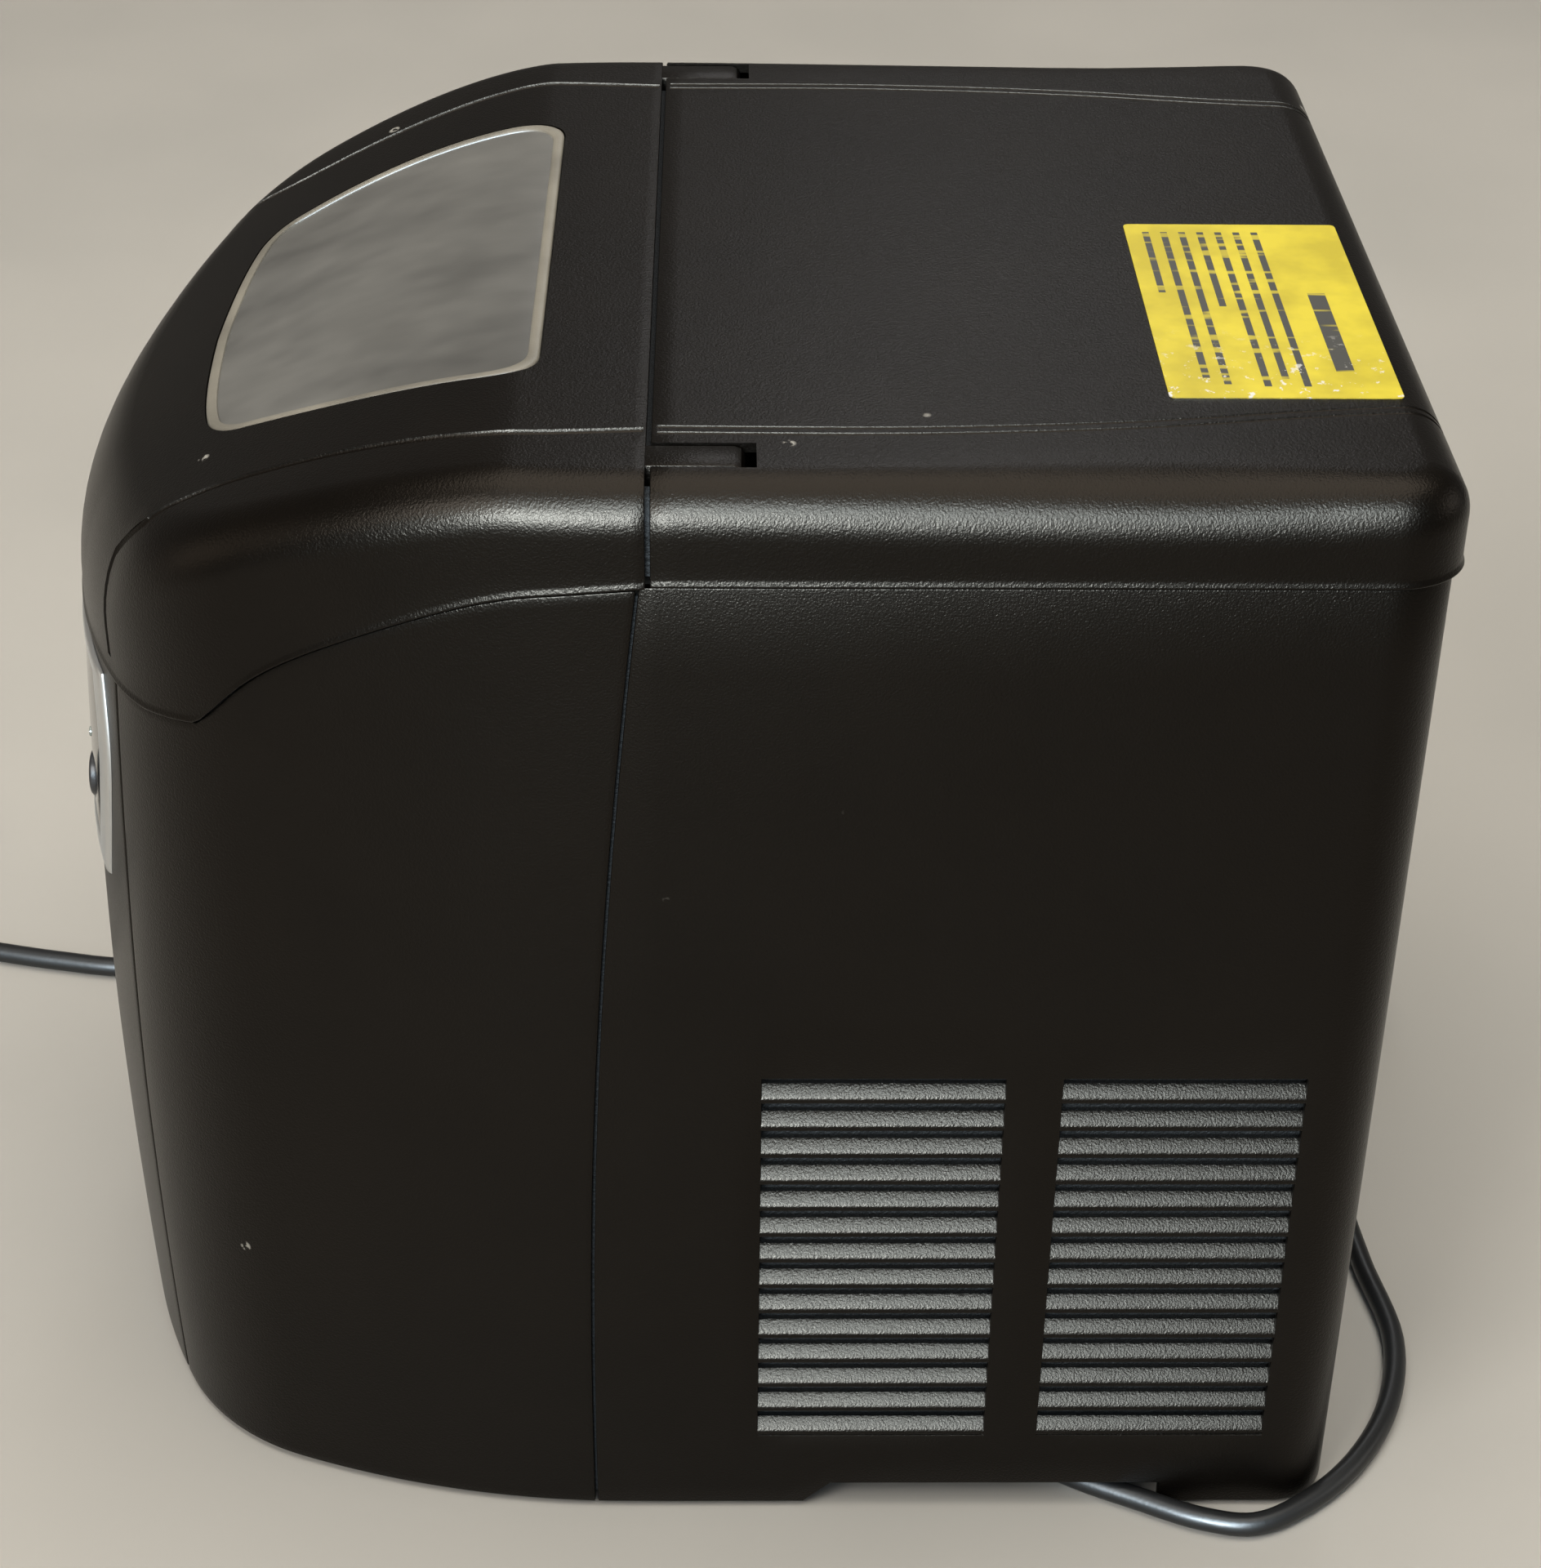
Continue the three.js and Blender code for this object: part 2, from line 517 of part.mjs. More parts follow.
function foamInsulation() {
  const outer = prism("z", binOutline(FOAM), BIN.z0 - FOAM, 200);
  return cut(outer, prism("z", binOutline(GAP), BIN.z0 - GAP, 210));
}

function iceBasket() {
  const outline = (grow) => roundedRect(BASKET.x + grow, BASKET.y0 - grow, BASKET.y1 + grow, BASKET.r + grow, 4);
  let tub = cut(
    prism("z", outline(0), BASKET.z0, BASKET.z1),
    prism("z", outline(-BASKET.wall), BASKET.z0 + BASKET.wall, BASKET.z1 + 5),
  );
  for (let i = -3; i <= 3; i++) {
    tub = tub.subtract(box(i * 16 - 1.8, i * 16 + 1.8, -150, -60, 132, 186));
  }
  for (const y of [-118, -105, -92]) {
    tub = tub.subtract(box(-56, 56, y - 1.8, y + 1.8, BASKET.z0 - 1, BASKET.z0 + 5));
  }
  return tub;
}

function iceScoop() {
  const outer = prism("x", [[-132, 123], [-84, 123], [-80, 146], [-132, 140]].reverse(), -26, 26);
  const bowl = cut(
    outer,
    prism("x", [[-129.8, 125.2], [-78, 125.2], [-78, 160], [-129.8, 160]].reverse(), -23.8, 23.8),
  );
  return bowl.add(box(24, 78, -119, -107, 130, 135));
}

function evaporator() {
  const bar = box(-70, 70, ICE_AXIS.y - 7, ICE_AXIS.y + 7, ICE_AXIS.z - 2, ICE_AXIS.z + 12);
  const fingers = Array.from({ length: FINGERS.count }, (_, i) => {
    const x = (i - (FINGERS.count - 1) / 2) * FINGERS.pitch;
    return rod("z", FINGERS.r, ICE_AXIS.z + FINGERS.tip, ICE_AXIS.z, [x, ICE_AXIS.y], 10);
  });
  const stubs = [-56, 56].map((x) =>
    tube([[x, ICE_AXIS.y, ICE_AXIS.z + 8], [x, ICE_AXIS.y, 262], [x, -18, 276], [x, 8, 276], [x, 34, 276]], 4, 8, 4),
  );
  return join(bar, ...fingers, ...stubs);
}

// Half-pipe on two stub shafts. It turns about its own axis, so it never meets the fingers inside it.
function waterTray() {
  const c = ICE_AXIS;
  const pipe = prism("x", sector(c, TRAY.r0, TRAY.r1, TRAY.from, TRAY.to), -TRAY.half, TRAY.half);
  const ends = [1, -1].map((s) => {
    const [a, b] = [s * (TRAY.half - TRAY.end), s * TRAY.half].sort((p, q) => p - q);
    return join(
      prism("x", sector(c, 0, TRAY.r1, TRAY.from, TRAY.to), a, b),
      rod("x", 6, a, b, [c.y, c.z], 16),
      rod("x", AXLE_R, ...(s > 0 ? [a, 94] : [-84.5, b]), [c.y, c.z], 14),
    );
  });
  return join(pipe, ...ends);
}

// Blade below the tray on two arms that hang on the tray's shafts.
function iceShovel() {
  const c = ICE_AXIS;
  const blade = prism("x", sector(c, SHOVEL.r0, SHOVEL.r1, SHOVEL.from, SHOVEL.to, 6), -SHOVEL.half, SHOVEL.half);
  const arms = [1, -1].map((s) => {
    const [a, b] = [s * (SHOVEL.half - SHOVEL.arm), s * SHOVEL.half].sort((p, q) => p - q);
    const web = prism("x", sector(c, 0, SHOVEL.r1, SHOVEL.from + 8, SHOVEL.to - 8, 5), a, b);
    return cut(join(web, rod("x", 7, a, b, [c.y, c.z], 16)), rod("x", AXLE_R + 0.4, a - 1, b + 1, [c.y, c.z], 14));
  });
  return join(blade, ...arms);
}

function iceUnitFrame() {
  const c = ICE_AXIS;
  const cheeks = [1, -1].map((s) => {
    const [a, b] = [s * CHEEK.x0, s * CHEEK.x1].sort((p, q) => p - q);
    return cut(
      prism("x", CHEEK.outline.toReversed(), a, b),
      rod("x", AXLE_R + 0.4, a - 1, b + 1, [c.y, c.z], 14),
      rod("x", 6, a - 1, b + 1, [HOSE.y, HOSE.z], 14),
    );
  });
  const inside = CHEEK.x0 + 0.5;
  const chute = prism("x", sector(c, CHUTE.r0, CHUTE.r1, CHUTE.from, CHUTE.to), -inside, inside);
  const beam = box(-inside, inside, c.y - 5, c.y + 5, 282, 286);
  const back = box(-inside, inside, 7.4, 10, 240, 286);
  const posts = [-28, 28].map((x) => box(x - 3, x + 3, c.y - 3, c.y + 3, c.z + 12.3, 283));
  const notches = [-56, 56].map((x) => box(x - 6, x + 6, 0, 20, 268, 290));
  return cut(join(...cheeks, chute, beam, back, ...posts), ...notches);
}

const trayMotor = () =>
  cut(
    join(rod("x", 18, 86, 103.5, [ICE_AXIS.y, ICE_AXIS.z], 24), box(86, 90, ICE_AXIS.y - 24, ICE_AXIS.y + 24, 226, 238)),
    rod("x", AXLE_R + 0.4, 80, 96, [ICE_AXIS.y, ICE_AXIS.z], 14),
  );

const iceSensor = () => box(-104.7, -98, -96, -84, 216, 230);

function waterPump() {
  const body = rod("z", 17, PAN.z1 + 0.3, 44, [-80, -60], 22);
  return join(body, rod("x", 4.5, -101, -90, [-60, 34], 12), rod("z", 12, 43, 48, [-80, -60], 16));
}
const fillHose = () =>
  tube(
    [
      [-101.5, -60, 34], [-112, -60, 34], [-128, -60, 46], [-132, -58, 90], [-132, -54, 180],
      [-132, -51, 250], [-126, HOSE.y, 270], [-110, HOSE.y, HOSE.z], [-86, HOSE.y, HOSE.z],
      [-74, HOSE.y + 1, 274], [-66, HOSE.y + 2, 266],
    ],
    HOSE.r,
    28,
    4,
  );

// ---- Refrigeration --------------------------------------------------------------------------------
function compressor() {
  const { x, y, r, z0, z1 } = COMPRESSOR;
  const outer = [[r * 0.8, z0], [r * 0.95, z0 + 10], [r, z0 + 24], [r, z1 - 30], [r * 0.9, z1 - 10], [r * 0.55, z1 - 1], [0, z1]];
  const shell = lathe([...outer, [0, z1 - 14], [r - 12, z1 - 30], [r - 12, z0], [r * 0.8, z0]], 28, [x, y, 0]);
  const plate = cut(box(x - 52, x + 52, y - 46, y + 46, 20.3, 23.4), rod("z", r - 13, 10, 30, [x, y], 28));
  const terminals = box(x + r - 8, x + r + 14, y - 20, y + 20, 70, 110);
  const outlet = rod("z", 4, z1 - 14, z1 + 12, [x + 26, y - 26], 12);
  const inlet = rod("z", 5, z1 - 14, z1 + 14, [x - 24, y - 28], 12);
  return join(shell, plate, terminals, outlet, inlet);
}
const GROMMETS = [[-104, 64], [-104, 136], [-22, 64], [-22, 136]].map(([x, y]) => [x, y]);
const grommet = ([x, y]) => rod("z", 8, PAN.z1 + 0.3, 20, [x, y], 16);

function condenser() {
  let block = box(118, 140, 30, 168, 24, 160);
  for (let i = 1; i < 14; i++) {
    const y = 30 + (138 * i) / 14;
    block = block.subtract(box(129, 145, y - 3, y + 3, 27, 157));
  }
  const inlet = rod("z", 4, 158, 170, [123, 40], 12);
  return join(block, inlet, rod("z", 3.5, 158, 170, [123, 60], 12));
}

function fanShroud() {
  const c = [FAN.y, FAN.z];
  const plate = cut(box(112.5, 115, 32, 166, 26, 158), rod("x", FAN.r + 3, 100, 120, c, 32));
  const ring = cut(rod("x", FAN.r + 6, 95, 115, c, 32), rod("x", FAN.r + 3, 90, 120, c, 32));
  const collar = cut(rod("x", 27, 72, 84, c, 20), rod("x", 22.4, 60, 90, c, 20));
  const legs = [0, 120, 240].map((deg) => {
    const arm = join(box(78, 84, -3, 3, 25, FAN.r + 5.6), box(78, 97, -3, 3, FAN.r + 3.2, FAN.r + 5.6));
    return arm.rotate([deg, 0, 0]).translate([0, FAN.y, FAN.z]);
  });
  const foot1 = box(112.5, 115, 40, 158, PAN.z1 + 0.3, 27);
  return join(plate, ring, collar, ...legs, foot1);
}
const fanMotor = () =>
  join(rod("x", 22, 64, 88, [FAN.y, FAN.z], 20), rod("x", 2.5, 87, 108, [FAN.y, FAN.z], 12));

function fanBlade() {
  const c = [FAN.y, FAN.z];
  const hub = cut(rod("x", 15, FAN.x0, FAN.x1, c, 20), rod("x", 2.9, FAN.x0 - 2, FAN.x1 - 2, c, 12));
  const blades = [0, 72, 144, 216, 288].map((deg) => {
    const blade = prism("z", [[-6, -1], [6, -1], [6, 1], [-6, 1]], 13, FAN.r);
    const wide = prism("y", [[-5.5, 13], [5.5, 13], [6, FAN.r], [-6, FAN.r]], -0.9, 0.9);
    return join(wide, blade.scale([0.8, 0.5, 1])).rotate([0, 0, 0]).translate([104, 0, 0])
      .rotate([deg, 0, 0]).translate([0, FAN.y, FAN.z]);
  });
  return join(hub, ...blades);
}

const filterDrier = () =>
  lathe([[0, 176], [3, 176], [3, 182], [9, 190], [9, 236], [3, 244], [3, 250], [0, 250]], 16, [-110, 60, 0]);
const gasValve = () =>
  join(box(-28, 0, 52, 76, 200, 222), rod("z", 11, 221, 244, [-14, 64], 18), rod("x", 3, -36, 8, [64, 206], 12));

const dischargeTube = () =>
  tube(
    [
      [-36, 74, 164.4], [-36, 74, 172], [-30, 66, 182], [-10, 50, 186], [30, 42, 187],
      [90, 40, 186], [115, 40, 185], [123, 40, 177], [123, 40, 170.5],
    ],
    3.5,
    26,
  );
const suctionTube = () =>
  tube(
    [[-86, 72, 166.4], [-86, 72, 200], [-84, 66, 240], [-74, 56, 266], [-58, 48, 275], [-56, 40, 276], [-56, 34.5, 276]],
    4,
    24,
  );
const liquidLine = () =>
  tube(
    [
      [123, 60, 170.5], [123, 60, 177], [118, 70, 188], [60, 100, 193], [-60, 114, 186],
      [-112, 96, 170], [-115, 72, 160], [-110, 61, 166], [-110, 60, 175.5],
    ],
    2.5,
    30,
  );
const capillary = () =>
  tube(
    [
      [-110, 60, 250.5], [-110, 60, 260], [-98, 68, 282], [-40, 78, 292], [20, 70, 292],
      [50, 56, 284], [56, 43, 277], [56, 34.5, 276],
    ],
    2.4,
    28,
  );

// ---- Electrics ------------------------------------------------------------------------------------
function powerBoard() {
  const board = box(-40, 70, 176, 178, 196, 290);
  const pieces = [[-34, -8, 20, 208, 238], [0, 16, 14, 206, 222], [24, 40, 22, 250, 280], [46, 64, 12, 204, 236]];
  return join(board, ...pieces.map(([x0, x1, h, z0, z1]) => box(x0, x1, 176.5 - h, 176.5, z0, z1)));
}
const displayBoard = () =>
  join(box(-54, 54, -167.5, -166, 184, 238), box(-30, 30, -166.2, -162, 206, 230));

// Straight down the y axis, the front surface at height z and distance x from the middle.
function frontSurface(x, z) {
  const ring = PLAN.slice(0, SEAM_INDEX).map((p) => leaned(p, z, 0));
  const i = ring.findIndex(([px]) => px > Math.abs(x));
  const [[x0, y0], [x1, y1]] = [ring[i - 1], ring[i]];
  return y0 + ((y1 - y0) * (Math.abs(x) - x0)) / (x1 - x0);
}
const button = (i) => {
  const face = frontSurface(buttonX(i), BUTTONS.z);
  return rod("y", BUTTONS.r, face - 1.2, -169.7, [buttonX(i), BUTTONS.z], 20);
};

const panelBezel = () => cut(frontLayer(panelOutline(0, 0), 0.3, 1.5), prism("y", panelOutline(11, 5.4), -220, -120));
const panelGlass = () => cut(frontLayer(panelOutline(11.6, 6), 0.3, 1.2), ...buttonHoles(BUTTONS.r + 0.6));

// ---- Fittings -------------------------------------------------------------------------------------
const rearScrew = (c) => join(rod("y", 4.2, REAR_Y + 0.3, REAR_Y + 1.9, c, 16), rod("y", 2, REAR_Y - 9, REAR_Y + 0.6, c, 12));
const hingePin = (s) =>
  rod("x", HINGE.r, ...(s > 0 ? [122.8, 141.2] : [-141.2, -122.8]), [HINGE.y, HINGE.z], 16);
const warningLabel = () => prism("z", roundedRect(55.5, -30, 30, 1.5, 2), TOP_Z + 0.3, TOP_Z + 0.6).translate([44.5, 145.5, 0]);

const drainSpout = () =>
  cut(
    join(rod("x", DRAIN.r, -140, -126, [DRAIN.y, DRAIN.z], 20), rod("x", 5, -126, -96, [DRAIN.y, DRAIN.z - 9], 14),
      box(-134, -124, DRAIN.y - 8, DRAIN.y + 8, PAN.z1 + 0.3, DRAIN.z - 4)),
    rod("x", 5.2, -150, -129, [DRAIN.y, DRAIN.z], 16),
  );

// Pull-out bung with a grip bar, recessed in the side wall.
const drainCap = () =>
  join(
    rod("x", DRAIN.r + 1, -142.6, -140.4, [DRAIN.y, DRAIN.z], 24),
    rod("x", 4.8, -141, -131, [DRAIN.y, DRAIN.z], 16),
    box(-149.4, -142, DRAIN.y - 2, DRAIN.y + 2, DRAIN.z - 8, DRAIN.z + 8),
  );

function strainRelief() {
  const { x, z, y1 } = STRAIN_RELIEF;
  const taper = rod("y", 8, REAR_Y + 2.5, y1, [x, z], 18, 5);
  return cut(
    join(rod("y", 10, REAR_Y + 0.4, REAR_Y + 3, [x, z], 20), taper, rod("y", 7, REAR_Y - 8, REAR_Y + 1, [x, z], 18)),
    rod("y", CORD_R + 0.3, REAR_Y - 12, REAR_Y - 2, [x, z], 12),
  );
}
const powerCord = () => tube(CORD_ROUTE, CORD_R, 70, 5);
const cordCoil = () => {
  const { r, half, top, x, y } = COIL;
  return lathe([[r - half, 0.1], [r + half, 0.1], [r + half, top], [r - half, top], [r - half, 0.1]], 28, [x, y, 0]);
};
function cordPlug() {
  const { x, y, length, w, h } = PLUG;
  const body = box(x - length, x, y - w / 2, y + w / 2, 0.1, h);
  const nose = rod("x", 5, x, x + 18, [y, h / 2], 14);
  const blades = [-6.35, 6.35].map((dy) => box(x - length - 16, x - length + 1, y + dy - 0.8, y + dy + 0.8, h / 2 - 3.2, h / 2 + 3.2));
  return join(body, nose, ...blades, rod("x", 2.4, x - length - 18, x - length + 1, [y, h / 2 + 6], 10));
}

// ---- Assembly -------------------------------------------------------------------------------------
const FINISH = {
  body: [0x1b1814, 0.42, 0],
  window: [0x76746e, 0.35, 0],
  glass: [0x0b0b0c, 0.12, 0],
  silver: [0xb9b0aa, 0.32, 0.6],
  liner: [0xc9ccd0, 0.45, 0],
  foam: [0xe9e9e4, 0.9, 0],
  clear: [0xbfc8cc, 0.2, 0],
  steel: [0xb8babd, 0.28, 1],
  copper: [0xb5683f, 0.3, 1],
  rubber: [0x161616, 0.8, 0],
  board: [0x1f5a34, 0.55, 0],
  label: [0xd9be12, 0.5, 0],
};

function mesh(name, body, finish) {
  const { vertProperties, triVerts } = body.getMesh();
  const geometry = new THREE.BufferGeometry();
  geometry.setAttribute("position", new THREE.BufferAttribute(vertProperties, 3));
  geometry.setIndex(new THREE.BufferAttribute(triVerts, 1));
  geometry.computeVertexNormals();
  const [color, roughness, metalness] = FINISH[finish];
  const made = new THREE.Mesh(geometry, new THREE.MeshStandardMaterial({ color, roughness, metalness }));
  made.name = name;
  return made;
}

const iceMaker = new THREE.Group();
const add = (...list) => list.forEach(([name, body, finish]) => iceMaker.add(mesh(name, body, finish)));

add(
  ["base_pan", basePan(), "body"],
  ["front_shell", frontShell(), "body"],
  ["rear_housing", rearHousing(), "body"],
  ["rear_top_cover", rearCover(), "body"],
  ["lid_frame", lidFrame(), "body"],
  ["lid_window", lidWindow(), "window"],
  ["lid_liner", lidLiner(), "liner"],
  ["hinge_pin_right", hingePin(1), "steel"],
  ["hinge_pin_left", hingePin(-1), "steel"],
  ["warning_label", warningLabel(), "label"],
  ["panel_bezel", panelBezel(), "silver"],
  ["panel_glass", panelGlass(), "glass"],
  ["bin_liner", binLiner(), "liner"],
  ["foam_insulation", foamInsulation(), "foam"],
  ["ice_basket", iceBasket(), "clear"],
  ["ice_scoop", iceScoop(), "clear"],
  ["evaporator", evaporator(), "steel"],
  ["water_tray", waterTray(), "clear"],
  ["ice_shovel", iceShovel(), "clear"],
  ["ice_unit_frame", iceUnitFrame(), "liner"],
  ["tray_motor", trayMotor(), "body"],
  ["ice_full_sensor", iceSensor(), "glass"],
  ["water_pump", waterPump(), "body"],
  ["fill_hose", fillHose(), "clear"],
  ["compressor", compressor(), "body"],
  ["condenser", condenser(), "steel"],
  ["fan_shroud", fanShroud(), "body"],
  ["fan_motor", fanMotor(), "steel"],
  ["fan_blade", fanBlade(), "body"],
  ["filter_drier", filterDrier(), "copper"],
  ["hot_gas_valve", gasValve(), "copper"],
  ["discharge_tube", dischargeTube(), "copper"],
  ["suction_tube", suctionTube(), "copper"],
  ["liquid_line", liquidLine(), "copper"],
  ["capillary_tube", capillary(), "copper"],
  ["power_board", powerBoard(), "board"],
  ["display_board", displayBoard(), "board"],
  ["drain_spout", drainSpout(), "liner"],
  ["drain_cap", drainCap(), "rubber"],
  ["strain_relief", strainRelief(), "rubber"],
  ["power_cord", powerCord(), "rubber"],
  ["cord_coil", cordCoil(), "rubber"],
  ["cord_plug", cordPlug(), "rubber"],
);
BUTTONS.names.forEach((name, i) => add([name + "_button", button(i), "glass"]));
GROMMETS.forEach((c, i) => add(["compressor_grommet_" + (i + 1), grommet(c), "rubber"]));
FEET.forEach(([x, y], i) => add(["rubber_foot_" + (i + 1), foot(x, y), "rubber"]));
REAR_SCREWS.forEach((c, i) => add(["rear_screw_" + (i + 1), rearScrew(c), "steel"]));

export default iceMaker;
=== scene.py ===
"""The looks of a countertop ice maker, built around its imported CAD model. Lengths are in millimetres
until a mesh is made; the front faces -Y, the right side +X, and the machine stands on Z = 0."""

import json
import math

import bmesh
import bpy
import numpy as np
from mathutils import Matrix, Vector
from mathutils.bvhtree import BVHTree


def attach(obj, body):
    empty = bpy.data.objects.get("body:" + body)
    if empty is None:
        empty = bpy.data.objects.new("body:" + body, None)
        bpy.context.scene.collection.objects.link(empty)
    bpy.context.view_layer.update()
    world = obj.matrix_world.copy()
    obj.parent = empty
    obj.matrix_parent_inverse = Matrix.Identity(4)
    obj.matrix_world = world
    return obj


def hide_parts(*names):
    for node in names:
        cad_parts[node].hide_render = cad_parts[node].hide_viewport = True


MM = 0.001
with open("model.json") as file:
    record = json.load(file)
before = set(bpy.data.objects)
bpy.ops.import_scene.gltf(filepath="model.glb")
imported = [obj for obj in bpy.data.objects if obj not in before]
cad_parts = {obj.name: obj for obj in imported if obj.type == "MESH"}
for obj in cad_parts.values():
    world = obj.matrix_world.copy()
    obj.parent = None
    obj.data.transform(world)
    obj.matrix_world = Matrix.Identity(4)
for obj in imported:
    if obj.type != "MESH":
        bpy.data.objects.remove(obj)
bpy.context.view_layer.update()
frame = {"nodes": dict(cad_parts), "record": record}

# ---- Camera ----------------------------------------------
CAMERA_AT = Vector((0.815, 0.001, 0.6927))
PITCH, YAW, ROLL = (math.radians(a) for a in (33.13, 1.16, 0.75))
LENS_MM = 71.63


def make_camera():
    forward = Vector(
        (-math.cos(PITCH) * math.cos(YAW), math.cos(PITCH) * math.sin(YAW), -math.sin(PITCH))
    )
    level = Vector((math.sin(YAW), math.cos(YAW), 0))
    upward = level.cross(forward)
    right = level * math.cos(ROLL) + upward * math.sin(ROLL)
    up = upward * math.cos(ROLL) - level * math.sin(ROLL)
    data = bpy.data.cameras.new("camera")
    data.lens = LENS_MM
    data.sensor_width = 36
    data.clip_start = 0.01
    data.clip_end = 30
    camera = bpy.data.objects.new("camera", data)
    bpy.context.scene.collection.objects.link(camera)
    rows = [[right[i], up[i], -forward[i], CAMERA_AT[i]] for i in range(3)]
    camera.matrix_world = Matrix([*rows, [0, 0, 0, 1]])
    bpy.context.scene.camera = camera


make_camera()


# ---- Mesh tools ------------------------------------------
def link(name, data):
    made = bpy.data.objects.new(name, data)
    bpy.context.scene.collection.objects.link(made)
    return made


def mesh_object(name, points, faces, merge=1e-4):
    """An object from points in millimetres; points closer than merge are joined."""
    data = bpy.data.meshes.new(name)
    data.from_pydata((np.asarray(points, float) * MM).tolist(), [], [tuple(f) for f in faces])
    welded = bmesh.new()
    welded.from_mesh(data)
    bmesh.ops.remove_doubles(welded, verts=welded.verts, dist=merge * MM)
    bmesh.ops.recalc_face_normals(welded, faces=welded.faces)
    welded.to_mesh(data)
    welded.free()
    return link(name, data)


def bake_modifiers(obj):
    graph = bpy.context.evaluated_depsgraph_get()
    data = bpy.data.meshes.new_from_object(obj.evaluated_get(graph))
    obj.modifiers.clear()
    obj.data = data
    return obj


def smooth(obj, angle=35):
    obj.data.shade_smooth()
    obj.data.set_sharp_from_angle(angle=math.radians(angle))
    return obj


def rounded(obj, width, angle=40):
    """Rounds the edges sharper than the angle."""
    bevel = obj.modifiers.new("round", "BEVEL")
    bevel.width = width * MM
    bevel.segments = 2
    bevel.limit_method = "ANGLE"
    bevel.angle_limit = math.radians(angle)
    bevel.harden_normals = False
    return smooth(bake_modifiers(obj), 32)


def carve(obj, *cutters):
    """Cuts the cutters out of the object and removes them."""
    for cutter in cutters:
        step = obj.modifiers.new("cut", "BOOLEAN")
        step.operation = "DIFFERENCE"
        step.solver = "EXACT"
        step.object = cutter
        bake_modifiers(obj)
        bpy.data.objects.remove(cutter)
    return obj


def join(name, objects):
    """One object of several meshes, with their materials kept."""
    whole = bmesh.new()
    slots = []
    for o in objects:
        at = len(whole.faces)
        whole.from_mesh(o.data)
        whole.faces.ensure_lookup_table()
        for material in o.data.materials:
            if material not in slots:
                slots.append(material)
        if o.data.materials:
            own = [slots.index(material) for material in o.data.materials]
            for f in whole.faces[at:]:
                f.material_index = own[min(f.material_index, len(own) - 1)]
        bpy.data.objects.remove(o)
    data = bpy.data.meshes.new(name)
    whole.to_mesh(data)
    whole.free()
    for material in slots:
        data.materials.append(material)
    return link(name, data)


def open_edges(faces):
    """The directed edges that belong to one face only."""
    edges = {}
    for face in faces:
        for p, q in zip(face, [*face[1:], face[0]]):
            if (q, p) in edges:
                del edges[(q, p)]
            else:
                edges[(p, q)] = True
    return list(edges)


def sheet(name, outer, inward, thick, hole=None):
    """A closed plate from a grid of outer points and unit vectors that point into the material.
    hole(i, j) is true for the cells that are left open."""
    rows, cols = outer.shape[:2]
    points = np.concatenate([outer.reshape(-1, 3), (outer + inward * thick).reshape(-1, 3)])
    offset = rows * cols
    cells = [(i, j) for i in range(rows - 1) for j in range(cols - 1) if not (hole and hole(i, j))]
    skin = [(a, a + 1, a + 1 + cols, a + cols) for a in (i * cols + j for i, j in cells)]
    faces = [f for face in skin for f in (face, tuple(v + offset for v in reversed(face)))]
    faces += [(q, p, p + offset, q + offset) for p, q in open_edges(skin)]
    used = sorted({v for f in faces for v in f})
    index = {v: k for k, v in enumerate(used)}
    return mesh_object(name, points[used], [[index[v] for v in f] for f in faces])


def tube(name, rings):
    """A solid through rings with equal numbers of points, closed at both ends."""
    n, m = len(rings), len(rings[0])
    faces = [
        (k * m + i, k * m + (i + 1) % m, (k + 1) * m + (i + 1) % m, (k + 1) * m + i)
        for k in range(n - 1) for i in range(m)
    ]  # fmt: skip
    faces += [tuple(range(m))[::-1], tuple((n - 1) * m + i for i in range(m))]
    return mesh_object(name, np.concatenate(rings), faces)


def band(name, loops):
    """A ring of material whose section runs through the loops and back to the first."""
    count, n = len(loops), len(loops[0])
    faces = [
        (k * n + i, k * n + (i + 1) % n, (k + 1) % count * n + (i + 1) % n, (k + 1) % count * n + i)
        for k in range(count) for i in range(n)
    ]  # fmt: skip
    return smooth(mesh_object(name, np.concatenate(loops), faces), 50)


def sweep(name, path, radius, sides=12):
    """A round bar along points in millimetres."""
    path = np.asarray(path, float)
    tangent = np.gradient(path, axis=0)
    tangent /= np.linalg.norm(tangent, axis=1)[:, None]
    side = np.cross(tangent[0], (0.0, 0.0, 1.0))
    if np.linalg.norm(side) < 1e-3:
        side = np.cross(tangent[0], (1.0, 0.0, 0.0))
    angles = np.arange(sides)[:, None] * 2 * math.pi / sides
    rings = []
    for p, t in zip(path, tangent):
        side = side - t * (side @ t)
        side /= np.linalg.norm(side)
        rings.append(p + radius * (np.cos(angles) * side + np.sin(angles) * np.cross(t, side)))
    return tube(name, rings)


def lathe(name, profile, segments=48, axis="z", at=(0, 0, 0)):
    """A solid of revolution; profile is (radius, height) from the axis back to the axis."""
    points, faces, rings = [], [], []
    for r, h in profile:
        if r < 1e-6:
            rings.append([len(points)])
            points.append((0, 0, h))
            continue
        rings.append([len(points) + k for k in range(segments)])
        for k in range(segments):
            a = 2 * math.pi * k / segments
            points.append((r * math.cos(a), r * math.sin(a), h))
    for low, high in zip(rings, rings[1:]):
        for k in range(segments):
            j = (k + 1) % segments
            quad = [low[k % len(low)], low[j % len(low)], high[j % len(high)], high[k % len(high)]]
            face = list(dict.fromkeys(quad))
            if len(face) > 2:
                faces.append(face)
    points = np.array(points, float)
    if axis == "x":
        points = points[:, [2, 0, 1]]
    if axis == "y":
        points = points[:, [1, 2, 0]]
    return mesh_object(name, points + np.array(at, float), faces)


